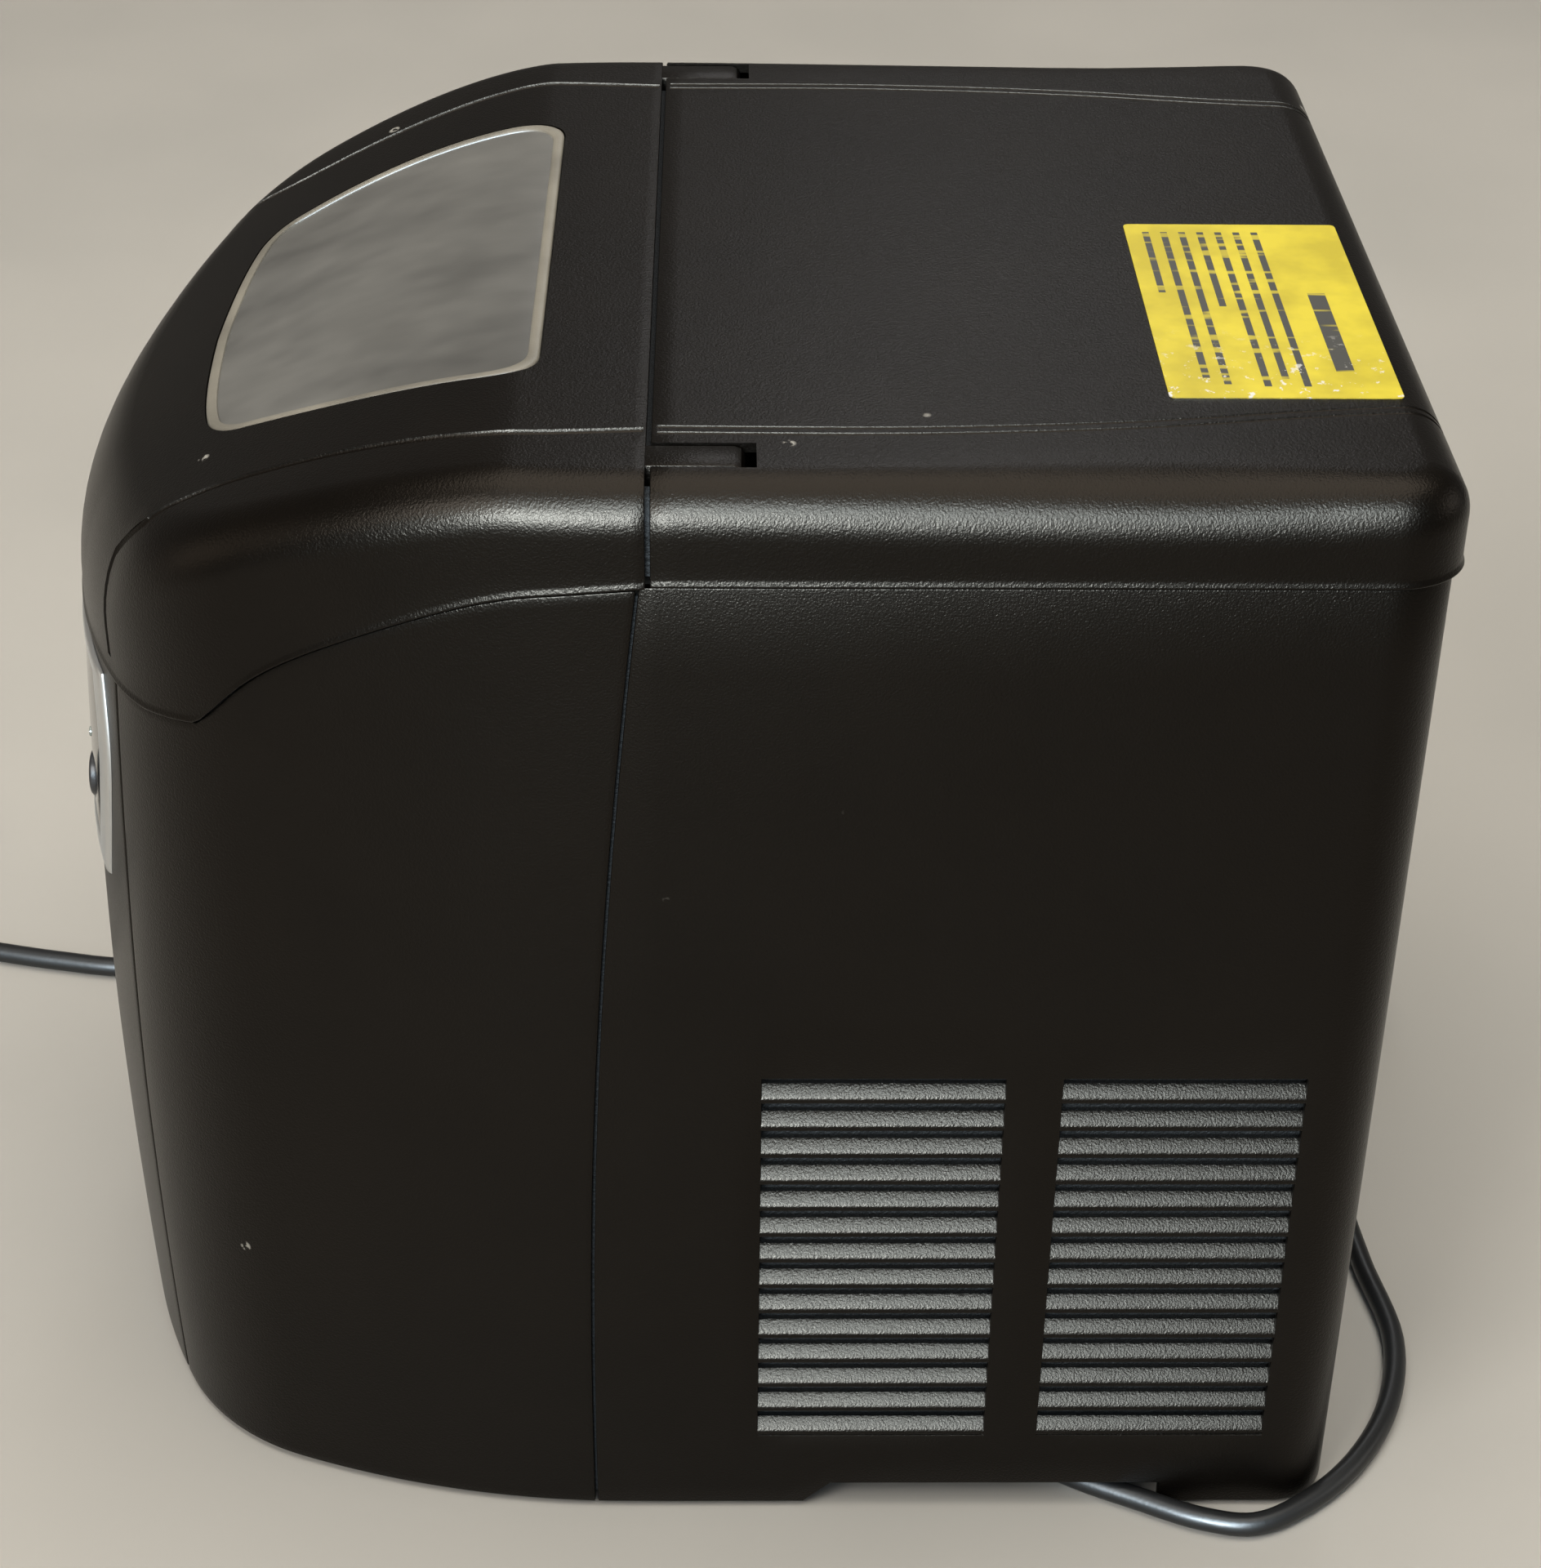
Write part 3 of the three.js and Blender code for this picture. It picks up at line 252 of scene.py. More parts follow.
def bezel(r, height, edge, steps=4):
    """Profile of a disc with a rounded top edge, for lathe."""
    turn = [math.pi / 2 * k / steps for k in range(steps + 1)]
    arc = [(r - edge + edge * math.cos(t), height - edge + edge * math.sin(t)) for t in turn]
    return [(0, 0), (r, 0), *arc, (0, height)]


def block(name, x0, x1, y0, y1, z0, z1):
    corners = [(x, y, z) for x in (x0, x1) for y in (y0, y1) for z in (z0, z1)]
    faces = [(0, 1, 3, 2), (4, 6, 7, 5), (0, 4, 5, 1), (2, 3, 7, 6), (0, 2, 6, 4), (1, 5, 7, 3)]
    return mesh_object(name, corners, faces)


def prism(name, outline, low, high, along_x=False):
    """An outline carried along an axis: (x, y) along Z, or (y, z) along X."""
    n = len(outline)
    points = [(h, *p) if along_x else (*p, h) for h in (low, high) for p in outline]
    faces = [tuple(range(n))[::-1], tuple(range(n, 2 * n))]
    faces += [(i, (i + 1) % n, (i + 1) % n + n, i + n) for i in range(n)]
    return mesh_object(name, points, faces)


# ---- The body's outline, as in the CAD model -------------
HALF_W, FRONT_Y, REAR_Y, TOP_Z = 150.0, -188.0, 184.5, 343.0
SIDE_R, CORNER_R = 285.0, 71.0
SIDE_TURN, CORNER_TURN = math.radians(21.3), math.radians(63)
REAR_CORNER = (16.0, 18.0)
BACK_HALF = HALF_W - REAR_CORNER[0]
CORNER_Y = 166.0  # the side wall is straight up to here
SEAM_Y, LIP_Z, SKIRT_Z = -16.2, 316.4, 2.0
GROOVE_X = 92.5
WALL_THICK = 2.6


def plan_curve():
    """Right half of the plan from the centre of the front to the centre of the back."""
    a, b = SIDE_TURN, CORNER_TURN
    front_r = (
        HALF_W - SIDE_R * (1 - math.cos(a)) - CORNER_R * (math.cos(a) - math.cos(b))
    ) / math.cos(b)
    side_y = FRONT_Y + SIDE_R * math.sin(a) + CORNER_R * (math.sin(b) - math.sin(a))
    side_y += front_r * (1 - math.sin(b))
    inset = front_r - CORNER_R
    arcs = [
        ((0, FRONT_Y + front_r), front_r, math.pi / 2, b),
        ((inset * math.cos(b), FRONT_Y + front_r - inset * math.sin(b)), CORNER_R, b, a),
        ((HALF_W - SIDE_R, side_y), SIDE_R, a, 0),
    ]
    rows = []
    for (cx, cy), r, start, end in arcs:
        for t in np.linspace(start, end, 160)[:-1]:
            rows.append((cx + r * math.cos(t), cy - r * math.sin(t), math.cos(t), -math.sin(t)))
    for y in np.linspace(side_y, REAR_Y - REAR_CORNER[1], 160)[:-1]:
        rows.append((HALF_W, y, 1, 0))
    ax, ay = REAR_CORNER
    for t in np.linspace(0, math.pi / 2, 160):
        n = Vector((math.cos(t) * ay, math.sin(t) * ax)).normalized()
        rows.append((HALF_W - ax * (1 - math.cos(t)), REAR_Y - ay * (1 - math.sin(t)), n.x, n.y))
    for x in np.linspace(HALF_W - ax, 0, 120)[1:]:
        rows.append((x, REAR_Y, 0, 1))
    return np.array(rows)


PLAN = plan_curve()
PLAN_S = np.concatenate([[0], np.cumsum(np.hypot(*np.diff(PLAN[:, :2], axis=0).T))])
SIDE_ROWS, FRONT_ROWS = slice(0, 795), slice(0, 300)


def plan_at(s):
    """Points and normals at distances along the half outline; negative distances are the left half."""
    s = np.asarray(s, float)
    x, y, nx, ny = (np.interp(np.abs(s), PLAN_S, PLAN[:, k]) for k in range(4))
    flip = np.where(s < 0, -1.0, 1.0)
    length = np.hypot(nx, ny)
    return x * flip, y, nx / length * flip, ny / length


def s_of_y(y):
    return np.interp(y, PLAN[SIDE_ROWS, 1], PLAN_S[SIDE_ROWS])


def s_of_x(x):
    return np.interp(x, PLAN[FRONT_ROWS, 0], PLAN_S[FRONT_ROWS])


def front_at(z):
    """How far forward the middle of the front stands at a height; it draws in at both ends."""
    z = np.asarray(z, float)
    low = FRONT_Y + 2.5 * ((110 - np.minimum(z, 110)) / 108) ** 2
    return np.where(z < 110, low, FRONT_Y + 6 * ((np.maximum(z, 110) - 110) / 142) ** 1.7)


def lean(y, z):
    """Moves the outline ahead of the seam back with the front."""
    scaled = SEAM_Y + (y - SEAM_Y) * (front_at(z) - SEAM_Y) / (FRONT_Y - SEAM_Y)
    return np.where(y < SEAM_Y, scaled, y)


def wall(s, z, offset=0.0):
    """Points on the body's wall, and their outward normals."""
    x, y, nx, ny = plan_at(s)
    x, y, z = np.broadcast_arrays(x + nx * offset, lean(y, z) + ny * offset, z)
    outward = np.stack(np.broadcast_arrays(nx, ny, 0.0 * z), -1)
    return np.stack([x, y, z], -1).astype(float), outward


def seam_y(z):
    """The side seam, which leans forward towards its foot."""
    return -35 + 16.2 * (np.maximum(z, 0) / LIP_Z) ** 2.35


def spline(points, count):
    """Evenly numbered points on a centripetal Catmull-Rom curve."""
    p = np.asarray(points, float)
    p = np.vstack([2 * p[0] - p[1], p, 2 * p[-1] - p[-2]])
    out = []
    each = max(2, count // (len(p) - 3))
    for k in range(1, len(p) - 2):
        knots = [0.0]
        for i in range(3):
            knots.append(knots[-1] + max(1e-6, np.linalg.norm(p[k + i] - p[k + i - 1]) ** 0.5))
        t = np.linspace(knots[1], knots[2], each + 1)[:-1, None]
        rung = p[k - 1 : k + 3]
        for reach, first in ((1, 0), (2, 0), (1, 1)):
            rung = [
                ((knots[i + reach] - t) * a + (t - knots[i]) * b) / (knots[i + reach] - knots[i])
                for i, (a, b) in enumerate(zip(rung, rung[1:]), start=first)
            ]
        out.append(rung[0])
    return np.vstack([*out, p[-2][None]])


SKIRT_CURVE = [
    (-14, 316.2), (-33, 314.5), (-52, 312), (-72, 305.4), (-103, 290), (-119, 278.5), (-134.5, 261.5),
]  # fmt: skip
SKIRT = np.vstack([[(0, LIP_Z)], spline(SKIRT_CURVE, 60), [(-150, 257.5), (-200, 251)]])


def skirt_z(y):
    """Height of the lid's lower edge along its side."""
    return np.interp(-np.asarray(y), -SKIRT[:, 0], SKIRT[:, 1])


def lid_top(y):
    """Height of the lid: flat behind, then dropping towards the front."""
    return TOP_Z - 0.0362 * np.maximum(0, -50 - y) ** 1.5


# ---- Cord ------------------------------------------------
CORD_R, CORD_Z = 3.5, 3.6
CORD_STEP = 2.2
STRAIN_RELIEF = (-100.0, 213.7, 62.0)
CORD_DROP = [
    STRAIN_RELIEF,
    (-100, 217.6, 61.9), (-100, 224.6, 60.5), (-100, 231.5, 56.7), (-100, 237.7, 50.5),
    (-100, 241.6, 42.7), (-100, 243, 34), (-98.6, 242.4, 24.6), (-94.6, 240.9, 16.1),
    (-88.4, 238.4, 9.4), (-80.5, 235.2, 5.1),
]  # fmt: skip
CORD_ON_FLOOR = [
    (-71.7, 231.8), (-50, 223.6), (-20, 215), (12, 211), (45.5, 212.6), (82, 216.5),
    (111.3, 209.7), (135.6, 195.4), (152.4, 177.8), (161, 161), (158.9, 146), (150, 126),
    (141, 108), (124, 84), (96, 64), (50, 51), (-40, 48), (-100, 53), (-134, 50), (-151, 41),
    (-161.5, 24), (-167, 0), (-168, -30), (-163, -68), (-152, -105), (-137, -142), (-122, -180),
    (-116, -215), (-120.3, -243.4), (-127, -272), (-133, -299), (-137.8, -320),
]  # fmt: skip
COIL_AT = (-188.0, -341.0)
COIL_R = (38.55, 45.6)  # inner and outer turn
COIL_START, COIL_END = 22.7, -1170.0  # degrees, clockwise
PLUG_AT = (-220.0, -385.0, 10.0)  # where the cord enters the plug


def ease(t, start, end):
    """A smooth step from 0 to 1."""
    u = np.clip((t - start) / (end - start), 0, 1)
    return u * u * (3 - 2 * u)


def cord_points():
    """The whole centreline: the route, a coil of two by two turns, and the way into the plug."""
    route = spline([*CORD_DROP, *((x, y, CORD_Z) for x, y in CORD_ON_FLOOR)], 260)
    turn = np.arange(COIL_START - 12, COIL_END, -6.0)
    down = -turn
    inner, outer = COIL_R
    r = outer + 8.8 * (1 - ease(down, -COIL_START, 25))
    r = r + (inner - outer) * (ease(down, 280, 345) - ease(down, 880, 950))
    z = CORD_Z + 7.05 * ease(down, 590, 660)
    a = np.radians(turn)
    coil = np.stack([COIL_AT[0] + r * np.cos(a), COIL_AT[1] + r * np.sin(a), z], -1)
    x, y, z = PLUG_AT
    last = spline([coil[-1], (x + 16, y - 1.2, z + 0.5), (x + 6, y, z), (x - 6, y, z)], 24)
    return np.vstack([route, coil, last[1:]])


def make_cord():
    """The cord as a round curve, and the length of its centreline in metres."""
    points = cord_points()
    keep = [0]
    for k in range(1, len(points)):
        if np.linalg.norm(points[k] - points[keep[-1]]) > CORD_STEP:
            keep.append(k)
    points = points[keep] * MM
    data = bpy.data.curves.new("mains_cord", "CURVE")
    data.dimensions = "3D"
    data.bevel_depth = CORD_R * MM
    data.bevel_resolution = 4
    data.use_fill_caps = True
    strand = data.splines.new("POLY")
    strand.points.add(len(points) - 1)
    strand.points.foreach_set("co", np.c_[points, np.ones(len(points))].ravel())
    strand.use_smooth = True
    return link("mains_cord", data), float(np.linalg.norm(np.diff(points, axis=0), axis=1).sum())


cord, cord_length = make_cord()


# ---- Materials -------------------------------------------
class Shader:
    """A Principled material with helpers for its procedural parts.
    Texture space is object space in metres."""

    def __init__(self, name, color, roughness, metallic=0.0, specular=0.5, **more):
        self.material = bpy.data.materials.new(name)
        self.material.use_nodes = True
        self.tree = self.material.node_tree
        self.bsdf = self.tree.nodes["Principled BSDF"]
        self.bsdf.inputs["Base Color"].default_value = (*color, 1)
        self.bsdf.inputs["Roughness"].default_value = roughness
        self.bsdf.inputs["Metallic"].default_value = metallic
        self.bsdf.inputs["Specular IOR Level"].default_value = specular
        for key, value in more.items():
            self.bsdf.inputs[key.replace("_", " ")].default_value = value
        self.place = self.add("ShaderNodeTexCoord").outputs["Object"]
        self.tone = None

    def add(self, kind, **settings):
        node = self.tree.nodes.new(kind)
        for key, value in settings.items():
            setattr(node, key, value)
        return node

    def wire(self, source, target):
        self.tree.links.new(source, target)

    def stretched(self, scale):
        node = self.add("ShaderNodeMapping")
        node.inputs["Scale"].default_value = scale
        self.wire(self.place, node.inputs["Vector"])
        return node.outputs["Vector"]

    def noise(self, scale, detail=3.0, rough=0.55, stretch=None):
        node = self.add("ShaderNodeTexNoise")
        node.inputs["Scale"].default_value = scale
        node.inputs["Detail"].default_value = detail
        node.inputs["Roughness"].default_value = rough
        self.wire(self.stretched(stretch) if stretch else self.place, node.inputs["Vector"])
        return node.outputs["Fac"]

    def cells(self, scale):
        node = self.add("ShaderNodeTexVoronoi")
        node.inputs["Scale"].default_value = scale
        self.wire(self.place, node.inputs["Vector"])
        return node.outputs["Distance"]

    def span(self, value, low, high, to_low, to_high):
        node = self.add("ShaderNodeMapRange")
        ends = {"From Min": low, "From Max": high, "To Min": to_low, "To Max": to_high}
        for key, number in ends.items():
            node.inputs[key].default_value = number
        self.wire(value, node.inputs["Value"])
        return node.outputs["Result"]

    def math(self, operation, a, b):
        node = self.add("ShaderNodeMath", operation=operation)
        for k, value in enumerate((a, b)):
            if isinstance(value, (int, float)):
                node.inputs[k].default_value = value
            else:
                self.wire(value, node.inputs[k])
        return node.outputs[0]

    def mix(self, amount, a, b):
        node = self.add("ShaderNodeMix", data_type="RGBA")
        self.wire(amount, node.inputs["Factor"])
        for key, value in (("A", a), ("B", b)):
            socket = next(s for s in node.inputs if s.name == key and s.type == "RGBA")
            if isinstance(value, tuple):
                socket.default_value = (*value, 1)
            else:
                self.wire(value, socket)
        return next(s for s in node.outputs if s.type == "RGBA")

    def color(self, source):
        self.wire(source, self.bsdf.inputs["Base Color"])
        return self

    def rough(self, source):
        self.wire(source, self.bsdf.inputs["Roughness"])
        return self

    def bump(self, source, distance_mm):
        node = self.add("ShaderNodeBump")
        node.inputs["Strength"].default_value = 1
        node.inputs["Distance"].default_value = distance_mm * MM
        self.wire(source, node.inputs["Height"])
        self.wire(node.outputs["Normal"], self.bsdf.inputs["Normal"])
        return self


def plastic(
    name, color, roughness, grain_mm=0.0, grain_scale=1300, vary=0.06, specular=0.5, tint=0.25, **more
):
    """Moulded plastic: a fine grain, and slow changes of gloss and tone."""
    s = Shader(name, color, roughness, specular=specular, **more)
    s.rough(s.span(s.noise(9, 3), 0.3, 0.7, roughness - vary, roughness + vary))
    dark = tuple(c * (1 - tint) for c in color)
    light = tuple(min(1, c * (1 + tint)) for c in color)
    s.tone = s.mix(s.span(s.noise(23, 4), 0.35, 0.65, 0, 1), dark, light)
    s.color(s.tone)
    if grain_mm:
        s.bump(s.noise(grain_scale, 2, 0.6), grain_mm)
    return s


def body_plastic():
    """Warm satin black with a few pale flecks of wear."""
    s = plastic(
        "black_satin_plastic", (0.0026, 0.0019, 0.0013), 0.3,
        grain_mm=0.13, grain_scale=1500, vary=0.025, specular=0.14, tint=0.2,
    )  # fmt: skip
    s.bsdf.inputs["Specular Tint"].default_value = (1, 0.86, 0.72, 1)
    near_cell = s.span(s.cells(21), 0.03, 0.045, 1, 0)
    flecks = s.math("MULTIPLY", near_cell, s.span(s.noise(420, 2), 0.48, 0.56, 0, 1))
    s.color(s.mix(flecks, s.tone, (0.32, 0.31, 0.28)))
    return s.material


def window_plastic():
    s = Shader("smoky_frosted_window", (0.2, 0.195, 0.18), 0.3, specular=0.5)
    streaks = s.noise(26, 3, 0.6, stretch=(1, 0.45, 1))
    cloud = s.noise(11, 4, 0.55)
    both = s.math("ADD", s.math("MULTIPLY", streaks, 0.55), s.math("MULTIPLY", cloud, 0.45))
    s.color(s.mix(s.span(both, 0.38, 0.62, 0, 1), (0.075, 0.074, 0.069), (0.165, 0.162, 0.15)))
    s.rough(s.span(cloud, 0.3, 0.7, 0.3, 0.46))
    return s.bump(s.noise(900, 2), 0.02).material


def label_film(low, high):
    """Yellow film with plain bars in place of print, worn at two corners."""
    s = Shader("yellow_label_film", (0.62, 0.5, 0.012), 0.42)
    parts = s.add("ShaderNodeSeparateXYZ")
    s.wire(s.place, parts.inputs["Vector"])
    u = s.span(parts.outputs["X"], low[0] * MM, high[0] * MM, 0, 1)
    v = s.span(parts.outputs["Y"], low[1] * MM, high[1] * MM, 0, 1)

    def inside(value, a, b):
        return s.math("MULTIPLY", s.math("GREATER_THAN", value, a), s.math("LESS_THAN", value, b))

    def box_mask(u0, u1, v0, v1):
        return s.math("MULTIPLY", inside(u, u0, u1), inside(v, v0, v1))

    line_starts = (0.08, 0.165, 0.25, 0.335, 0.42, 0.505, 0.59)
    line_ends = (0.42, 0.9, 0.93, 0.5, 0.94, 0.9, 0.94)
    marks = box_mask(0.42, 0.86, 0.75, 0.83)
    for at, end in zip(line_starts, line_ends):
        marks = s.math("MAXIMUM", marks, box_mask(0.05, end, at, at + 0.032))
    dash = s.span(s.noise(330, 1, 0.5, stretch=(1, 0.1, 1)), 0.36, 0.44, 0.25, 1)
    marks = s.math("MULTIPLY", marks, dash)
    tone = s.mix(s.span(s.noise(60, 3), 0.35, 0.65, 0, 1), (0.5, 0.405, 0.008), (0.66, 0.545, 0.018))
    printed = s.mix(marks, tone, (0.045, 0.043, 0.035))
    near = s.span(u, 0.62, 0.95, 0, 1)
    scuff = s.math("MULTIPLY", near, s.span(s.noise(210, 4, 0.7), 0.6, 0.64, 0, 1))
    s.color(s.mix(scuff, printed, (0.72, 0.71, 0.66)))
    return s.bump(s.noise(300, 2), 0.02).material


def metal(name, color, roughness, scale=260, stretch=None):
    s = Shader(name, color, roughness, metallic=1.0)
    grain = s.noise(scale, 3, stretch=stretch)
    s.rough(s.span(grain, 0.3, 0.7, roughness - 0.08, roughness + 0.1))
    s.color(s.mix(s.span(s.noise(45, 3), 0.35, 0.65, 0, 1), tuple(c * 0.82 for c in color), color))
    return s.bump(grain, 0.01).material


def rubber(name, color=(0.012, 0.012, 0.012), roughness=0.55):
    return plastic(name, color, roughness, grain_mm=0.05, grain_scale=700, vary=0.08, specular=0.4).material


def floor_material():
    s = Shader("pale_floor", (0.62, 0.59, 0.54), 0.75, specular=0.15)
    s.color(s.mix(s.span(s.noise(3, 3), 0.35, 0.65, 0, 1), (0.47, 0.455, 0.42), (0.52, 0.50, 0.46)))
    return s.material


BLACK = body_plastic()
WINDOW = window_plastic()
RIM = plastic("window_rim", (0.21, 0.195, 0.16), 0.42, grain_mm=0.04, vary=0.04).material
SILVER = plastic("silver_paint", (0.5, 0.49, 0.47), 0.36, vary=0.03, tint=0.03, metallic=0.75).material
GLOSS = plastic("gloss_black_panel", (0.006, 0.006, 0.007), 0.08, vary=0.02, tint=0.1).material
LINER = plastic(
    "light_grey_liner", (0.5, 0.515, 0.53), 0.4, grain_mm=0.02, grain_scale=500, vary=0.05, tint=0.05
).material
FOAM = plastic("foam", (0.72, 0.7, 0.62), 0.9, grain_mm=0.4, grain_scale=260, tint=0.06).material
CLEAR = plastic(
    "clear_grey_plastic", (0.62, 0.68, 0.7), 0.18, vary=0.04, tint=0.04,
    Transmission_Weight=0.55, IOR=1.5,
).material  # fmt: skip
STEEL = metal("plain_steel", (0.6, 0.6, 0.6), 0.3)
NICKEL = metal("nickel_plate", (0.66, 0.64, 0.6), 0.22, scale=120)
FINS = metal("aluminium_fins", (0.68, 0.69, 0.7), 0.38, scale=600, stretch=(1, 8, 1))
COPPER = metal("copper", (0.72, 0.33, 0.18), 0.3, scale=90)
ENAMEL = plastic("black_enamel", (0.012, 0.012, 0.013), 0.3, grain_mm=0.03, grain_scale=300).material
DARK = plastic("dark_plastic", (0.016, 0.016, 0.016), 0.5, grain_mm=0.05).material
# Near-black matte for backing sheets; behind the louvres it is a sheet of painted shade.
MATTE_BLACK = plastic(
    "matte_black_backing", (0.004, 0.004, 0.004), 0.7, grain_mm=0.5, grain_scale=900, specular=0.2
).material
RUBBER = rubber("black_rubber")
CORD_SKIN = rubber("cord_sheath", (0.009, 0.009, 0.009), 0.42)
KEYS = plastic("dark_grey_keys", (0.03, 0.03, 0.032), 0.3, grain_mm=0.02, vary=0.03).material
LENS = plastic("indicator_lens", (0.3, 0.33, 0.3), 0.2, tint=0.05).material
BOARD = plastic("green_board", (0.02, 0.13, 0.05), 0.4, tint=0.15).material
LABEL = label_film((-11, 115.5), (100, 175.5))


# ---- Pieces ----------------------------------------------
def piece(obj, body, material, slot, *nodes):
    """Gives a piece its material and its body, and hides the CAD nodes that it stands for. The slot
    argument is not used.
    """
    if material is not None and not (obj.type == "MESH" and len(obj.data.materials)):
        obj.data.materials.append(material)
    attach(obj, body)
    if nodes:
        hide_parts(*nodes)
    return obj


piece(cord, "casing", CORD_SKIN, "rubber", "power_cord", "cord_coil")


def spaced(count, tight=0.0):
    """Numbers from 0 to 1, closer at both ends when tight is over 0."""
    t = np.linspace(0, 1, count)
    return t * (1 - tight) + tight * (0.5 - 0.5 * np.cos(math.pi * t))


GROOVE_HALF = 0.8
GROOVE_ACROSS = np.array([1, 0.5, 0, -0.5, -1]) * GROOVE_HALF
GROOVE_DEPTH = np.array([0, -0.45, -0.75, -0.45, 0])


def front_shell():
    """Wraps from one side seam round the front to the other, up to the lid's skirt."""
    groove = s_of_x(GROOVE_X)
    a, b = spaced(56, 0.3)[:-1], spaced(34)[1:]
    up = spaced(52, 0.5)[:, None]

    def columns(z):
        """Distances along the outline for one height in each column."""
        start = s_of_y(seam_y(z) - 0.4)
        first = start[..., : len(a)] + a * (groove + GROOVE_HALF - start[..., : len(a)])
        middle = np.broadcast_to(groove + GROOVE_ACROSS, (*z.shape[:-1], len(GROOVE_ACROSS)))
        last = np.broadcast_to((groove - GROOVE_HALF) * (1 - b), (*z.shape[:-1], len(b)))
        return np.concatenate([first, middle, last], -1)

    top = np.full(len(a) + len(GROOVE_ACROSS) + len(b), 290.0)
    for _ in range(14):
        _, y, _, _ = plan_at(columns(top))
        top = 0.5 * top + 0.5 * (skirt_z(lean(y, top)) - 1.0)
    z = SKIRT_Z + up * (top - SKIRT_Z)
    s = columns(z)
    depth = np.concatenate([np.zeros(len(a)), GROOVE_DEPTH, np.zeros(len(b))])
    points, outward = wall(s, z, depth)
    mirror = np.array([-1.0, 1, 1])
    points = np.concatenate([points, points[:, -2::-1] * mirror], 1)
    outward = np.concatenate([outward, outward[:, -2::-1] * mirror], 1)
    return rounded(sheet("front_body_shell", points, -outward, WALL_THICK), 0.5)


LOUVRES, LOUVRE_PITCH, LOUVRE_Z0 = 14, 9.61, 155.4
LOUVRE_BLOCKS = [(13.2, 79.7), (95.4, 162.0)]
LOUVRE_TOP = LOUVRE_Z0 + 7.4
LOUVRE_BOTTOM = LOUVRE_Z0 - (LOUVRES - 1) * LOUVRE_PITCH - 1.2
ARCH_FOOT, ARCH_START, ARCH_END, ARCH_Z = 27.0, 35.0, 133.0, 9.5
SLOT_HALF = 1.8
VENT_SLOTS = [(k - 5) * 9.0 for k in range(11)]
VENT_Z = (206, 234, 262)


def rear_housing():
    """The straight-sided rear of the body, with its louvre openings, cable arches and back vent."""
    (low, near), (far, high) = LOUVRE_BLOCKS
    ys = [-14, -4, 4, low, 24, ARCH_START, 50, 64, near, 87, far, 110, 122, ARCH_END, 148, high]
    end = PLAN_S[-1]
    corner = np.linspace(float(s_of_y(CORNER_Y)), end - BACK_HALF, 14)
    slots = {end + x + d for x in VENT_SLOTS for d in (-SLOT_HALF, SLOT_HALF) if x + d < -0.5}
    slots.add(end - SLOT_HALF)
    half = np.array([*s_of_y(ys), *corner, end - 118, end - 90, end - 70, *sorted(slots)])
    zs = np.array(
        [SKIRT_Z, ARCH_Z, 20, LOUVRE_BOTTOM, 60, 95, 130, LOUVRE_TOP, 184, *VENT_Z, 290, 315.6]
    )
    start = s_of_y(seam_y(zs) + 0.4)[:, None]
    s = np.concatenate([start, np.broadcast_to(half, (len(zs), len(half)))], 1)
    s[0, 1 + ys.index(ARCH_START)] = s_of_y(ARCH_FOOT)
    s[0, 1 + ys.index(24)] = s_of_y(18)
    whole = np.concatenate([s, 2 * end - s[:, ::-1]], 1)
    folded = np.where(whole > end, -(2 * end - whole), whole)
    points, outward = wall(folded, zs[:, None] + 0 * folded)

    def opening(i, j):
        z, p = (zs[i] + zs[i + 1]) / 2, points[i + 1, j : j + 2].mean(0)
        if i == 0:
            return ARCH_START < p[1] < ARCH_END and abs(p[0]) > 140
        if LOUVRE_BOTTOM < z < LOUVRE_TOP and abs(p[0]) > 140:
            return any(y0 < p[1] < y1 for y0, y1 in LOUVRE_BLOCKS)
        if VENT_Z[0] < z < VENT_Z[-1] and p[1] > 180:
            return any(abs(p[0] - x) < SLOT_HALF - 0.1 for x in VENT_SLOTS)
        return False

    housing = sheet("rear_body_housing", points, -outward, WALL_THICK, opening)
    return rounded(housing, 0.45, angle=50)


def seam_backing():
    """The tongue behind the joint between the front shell and the rear housing, on both sides."""
    z = np.linspace(4, 312, 30)[:, None]
    made = []
    for sign in (1, -1):
        s = s_of_y(seam_y(z)) + np.array([[-6.0, 6.0]])
        points, outward = wall(s * sign, z, -2.7)
        made.append(sheet("tongue", points, -outward, 1.0))
    return join("seam_tongue", made)


def cover_seam_backing():
    """The ledges under the joint between the lid and the rear cover, clear of the hinge arms."""
    cx, cz, r, foot = 137, 329, 11.2, 318
    down = np.array([0.0, 0.0, -1.0])
    runs = [([(x, 340.2) for x in np.linspace(-122, 122, 9)], down)]
    for sign in (1, -1):
        turn = np.radians([66, 50, 35, 20, 0])
        run = [(sign * (cx + r * math.cos(a)), cz + r * math.sin(a)) for a in turn]
        run = (run + [(sign * (cx + r), foot)])[::sign]
        side = np.array([(sign * cx - x, 0, cz - z if z > cz else 0) for x, z in run])
        runs.append((run, side / np.linalg.norm(side, axis=1)[:, None]))
    made = []
    for run, inward in runs:
        points = np.array([[(x, y, z) for x, z in run] for y in (-17.8, -14.0)])
        made.append(sheet("ledge", points, np.broadcast_to(inward, points.shape), 0.9))
    return join("cover_seam_ledge", made)


def louvre_shade_sheets():
    """A near-black sheet behind each block of louvres: painted shade, which keeps the gaps between the
    slats dark.
    """
    made = []
    for low, high in LOUVRE_BLOCKS:
        for sign in (1, -1):
            s = np.linspace(s_of_y(low - 2), s_of_y(high + 1.5), 3)[None, :] * sign
            z = np.array([[LOUVRE_BOTTOM - 3], [LOUVRE_TOP + 2]])
            points, outward = wall(s, z, -6.6)
            made.append(sheet("shade_backing", points, -outward, 0.8))
    return join("louvre_shade_sheet", made)


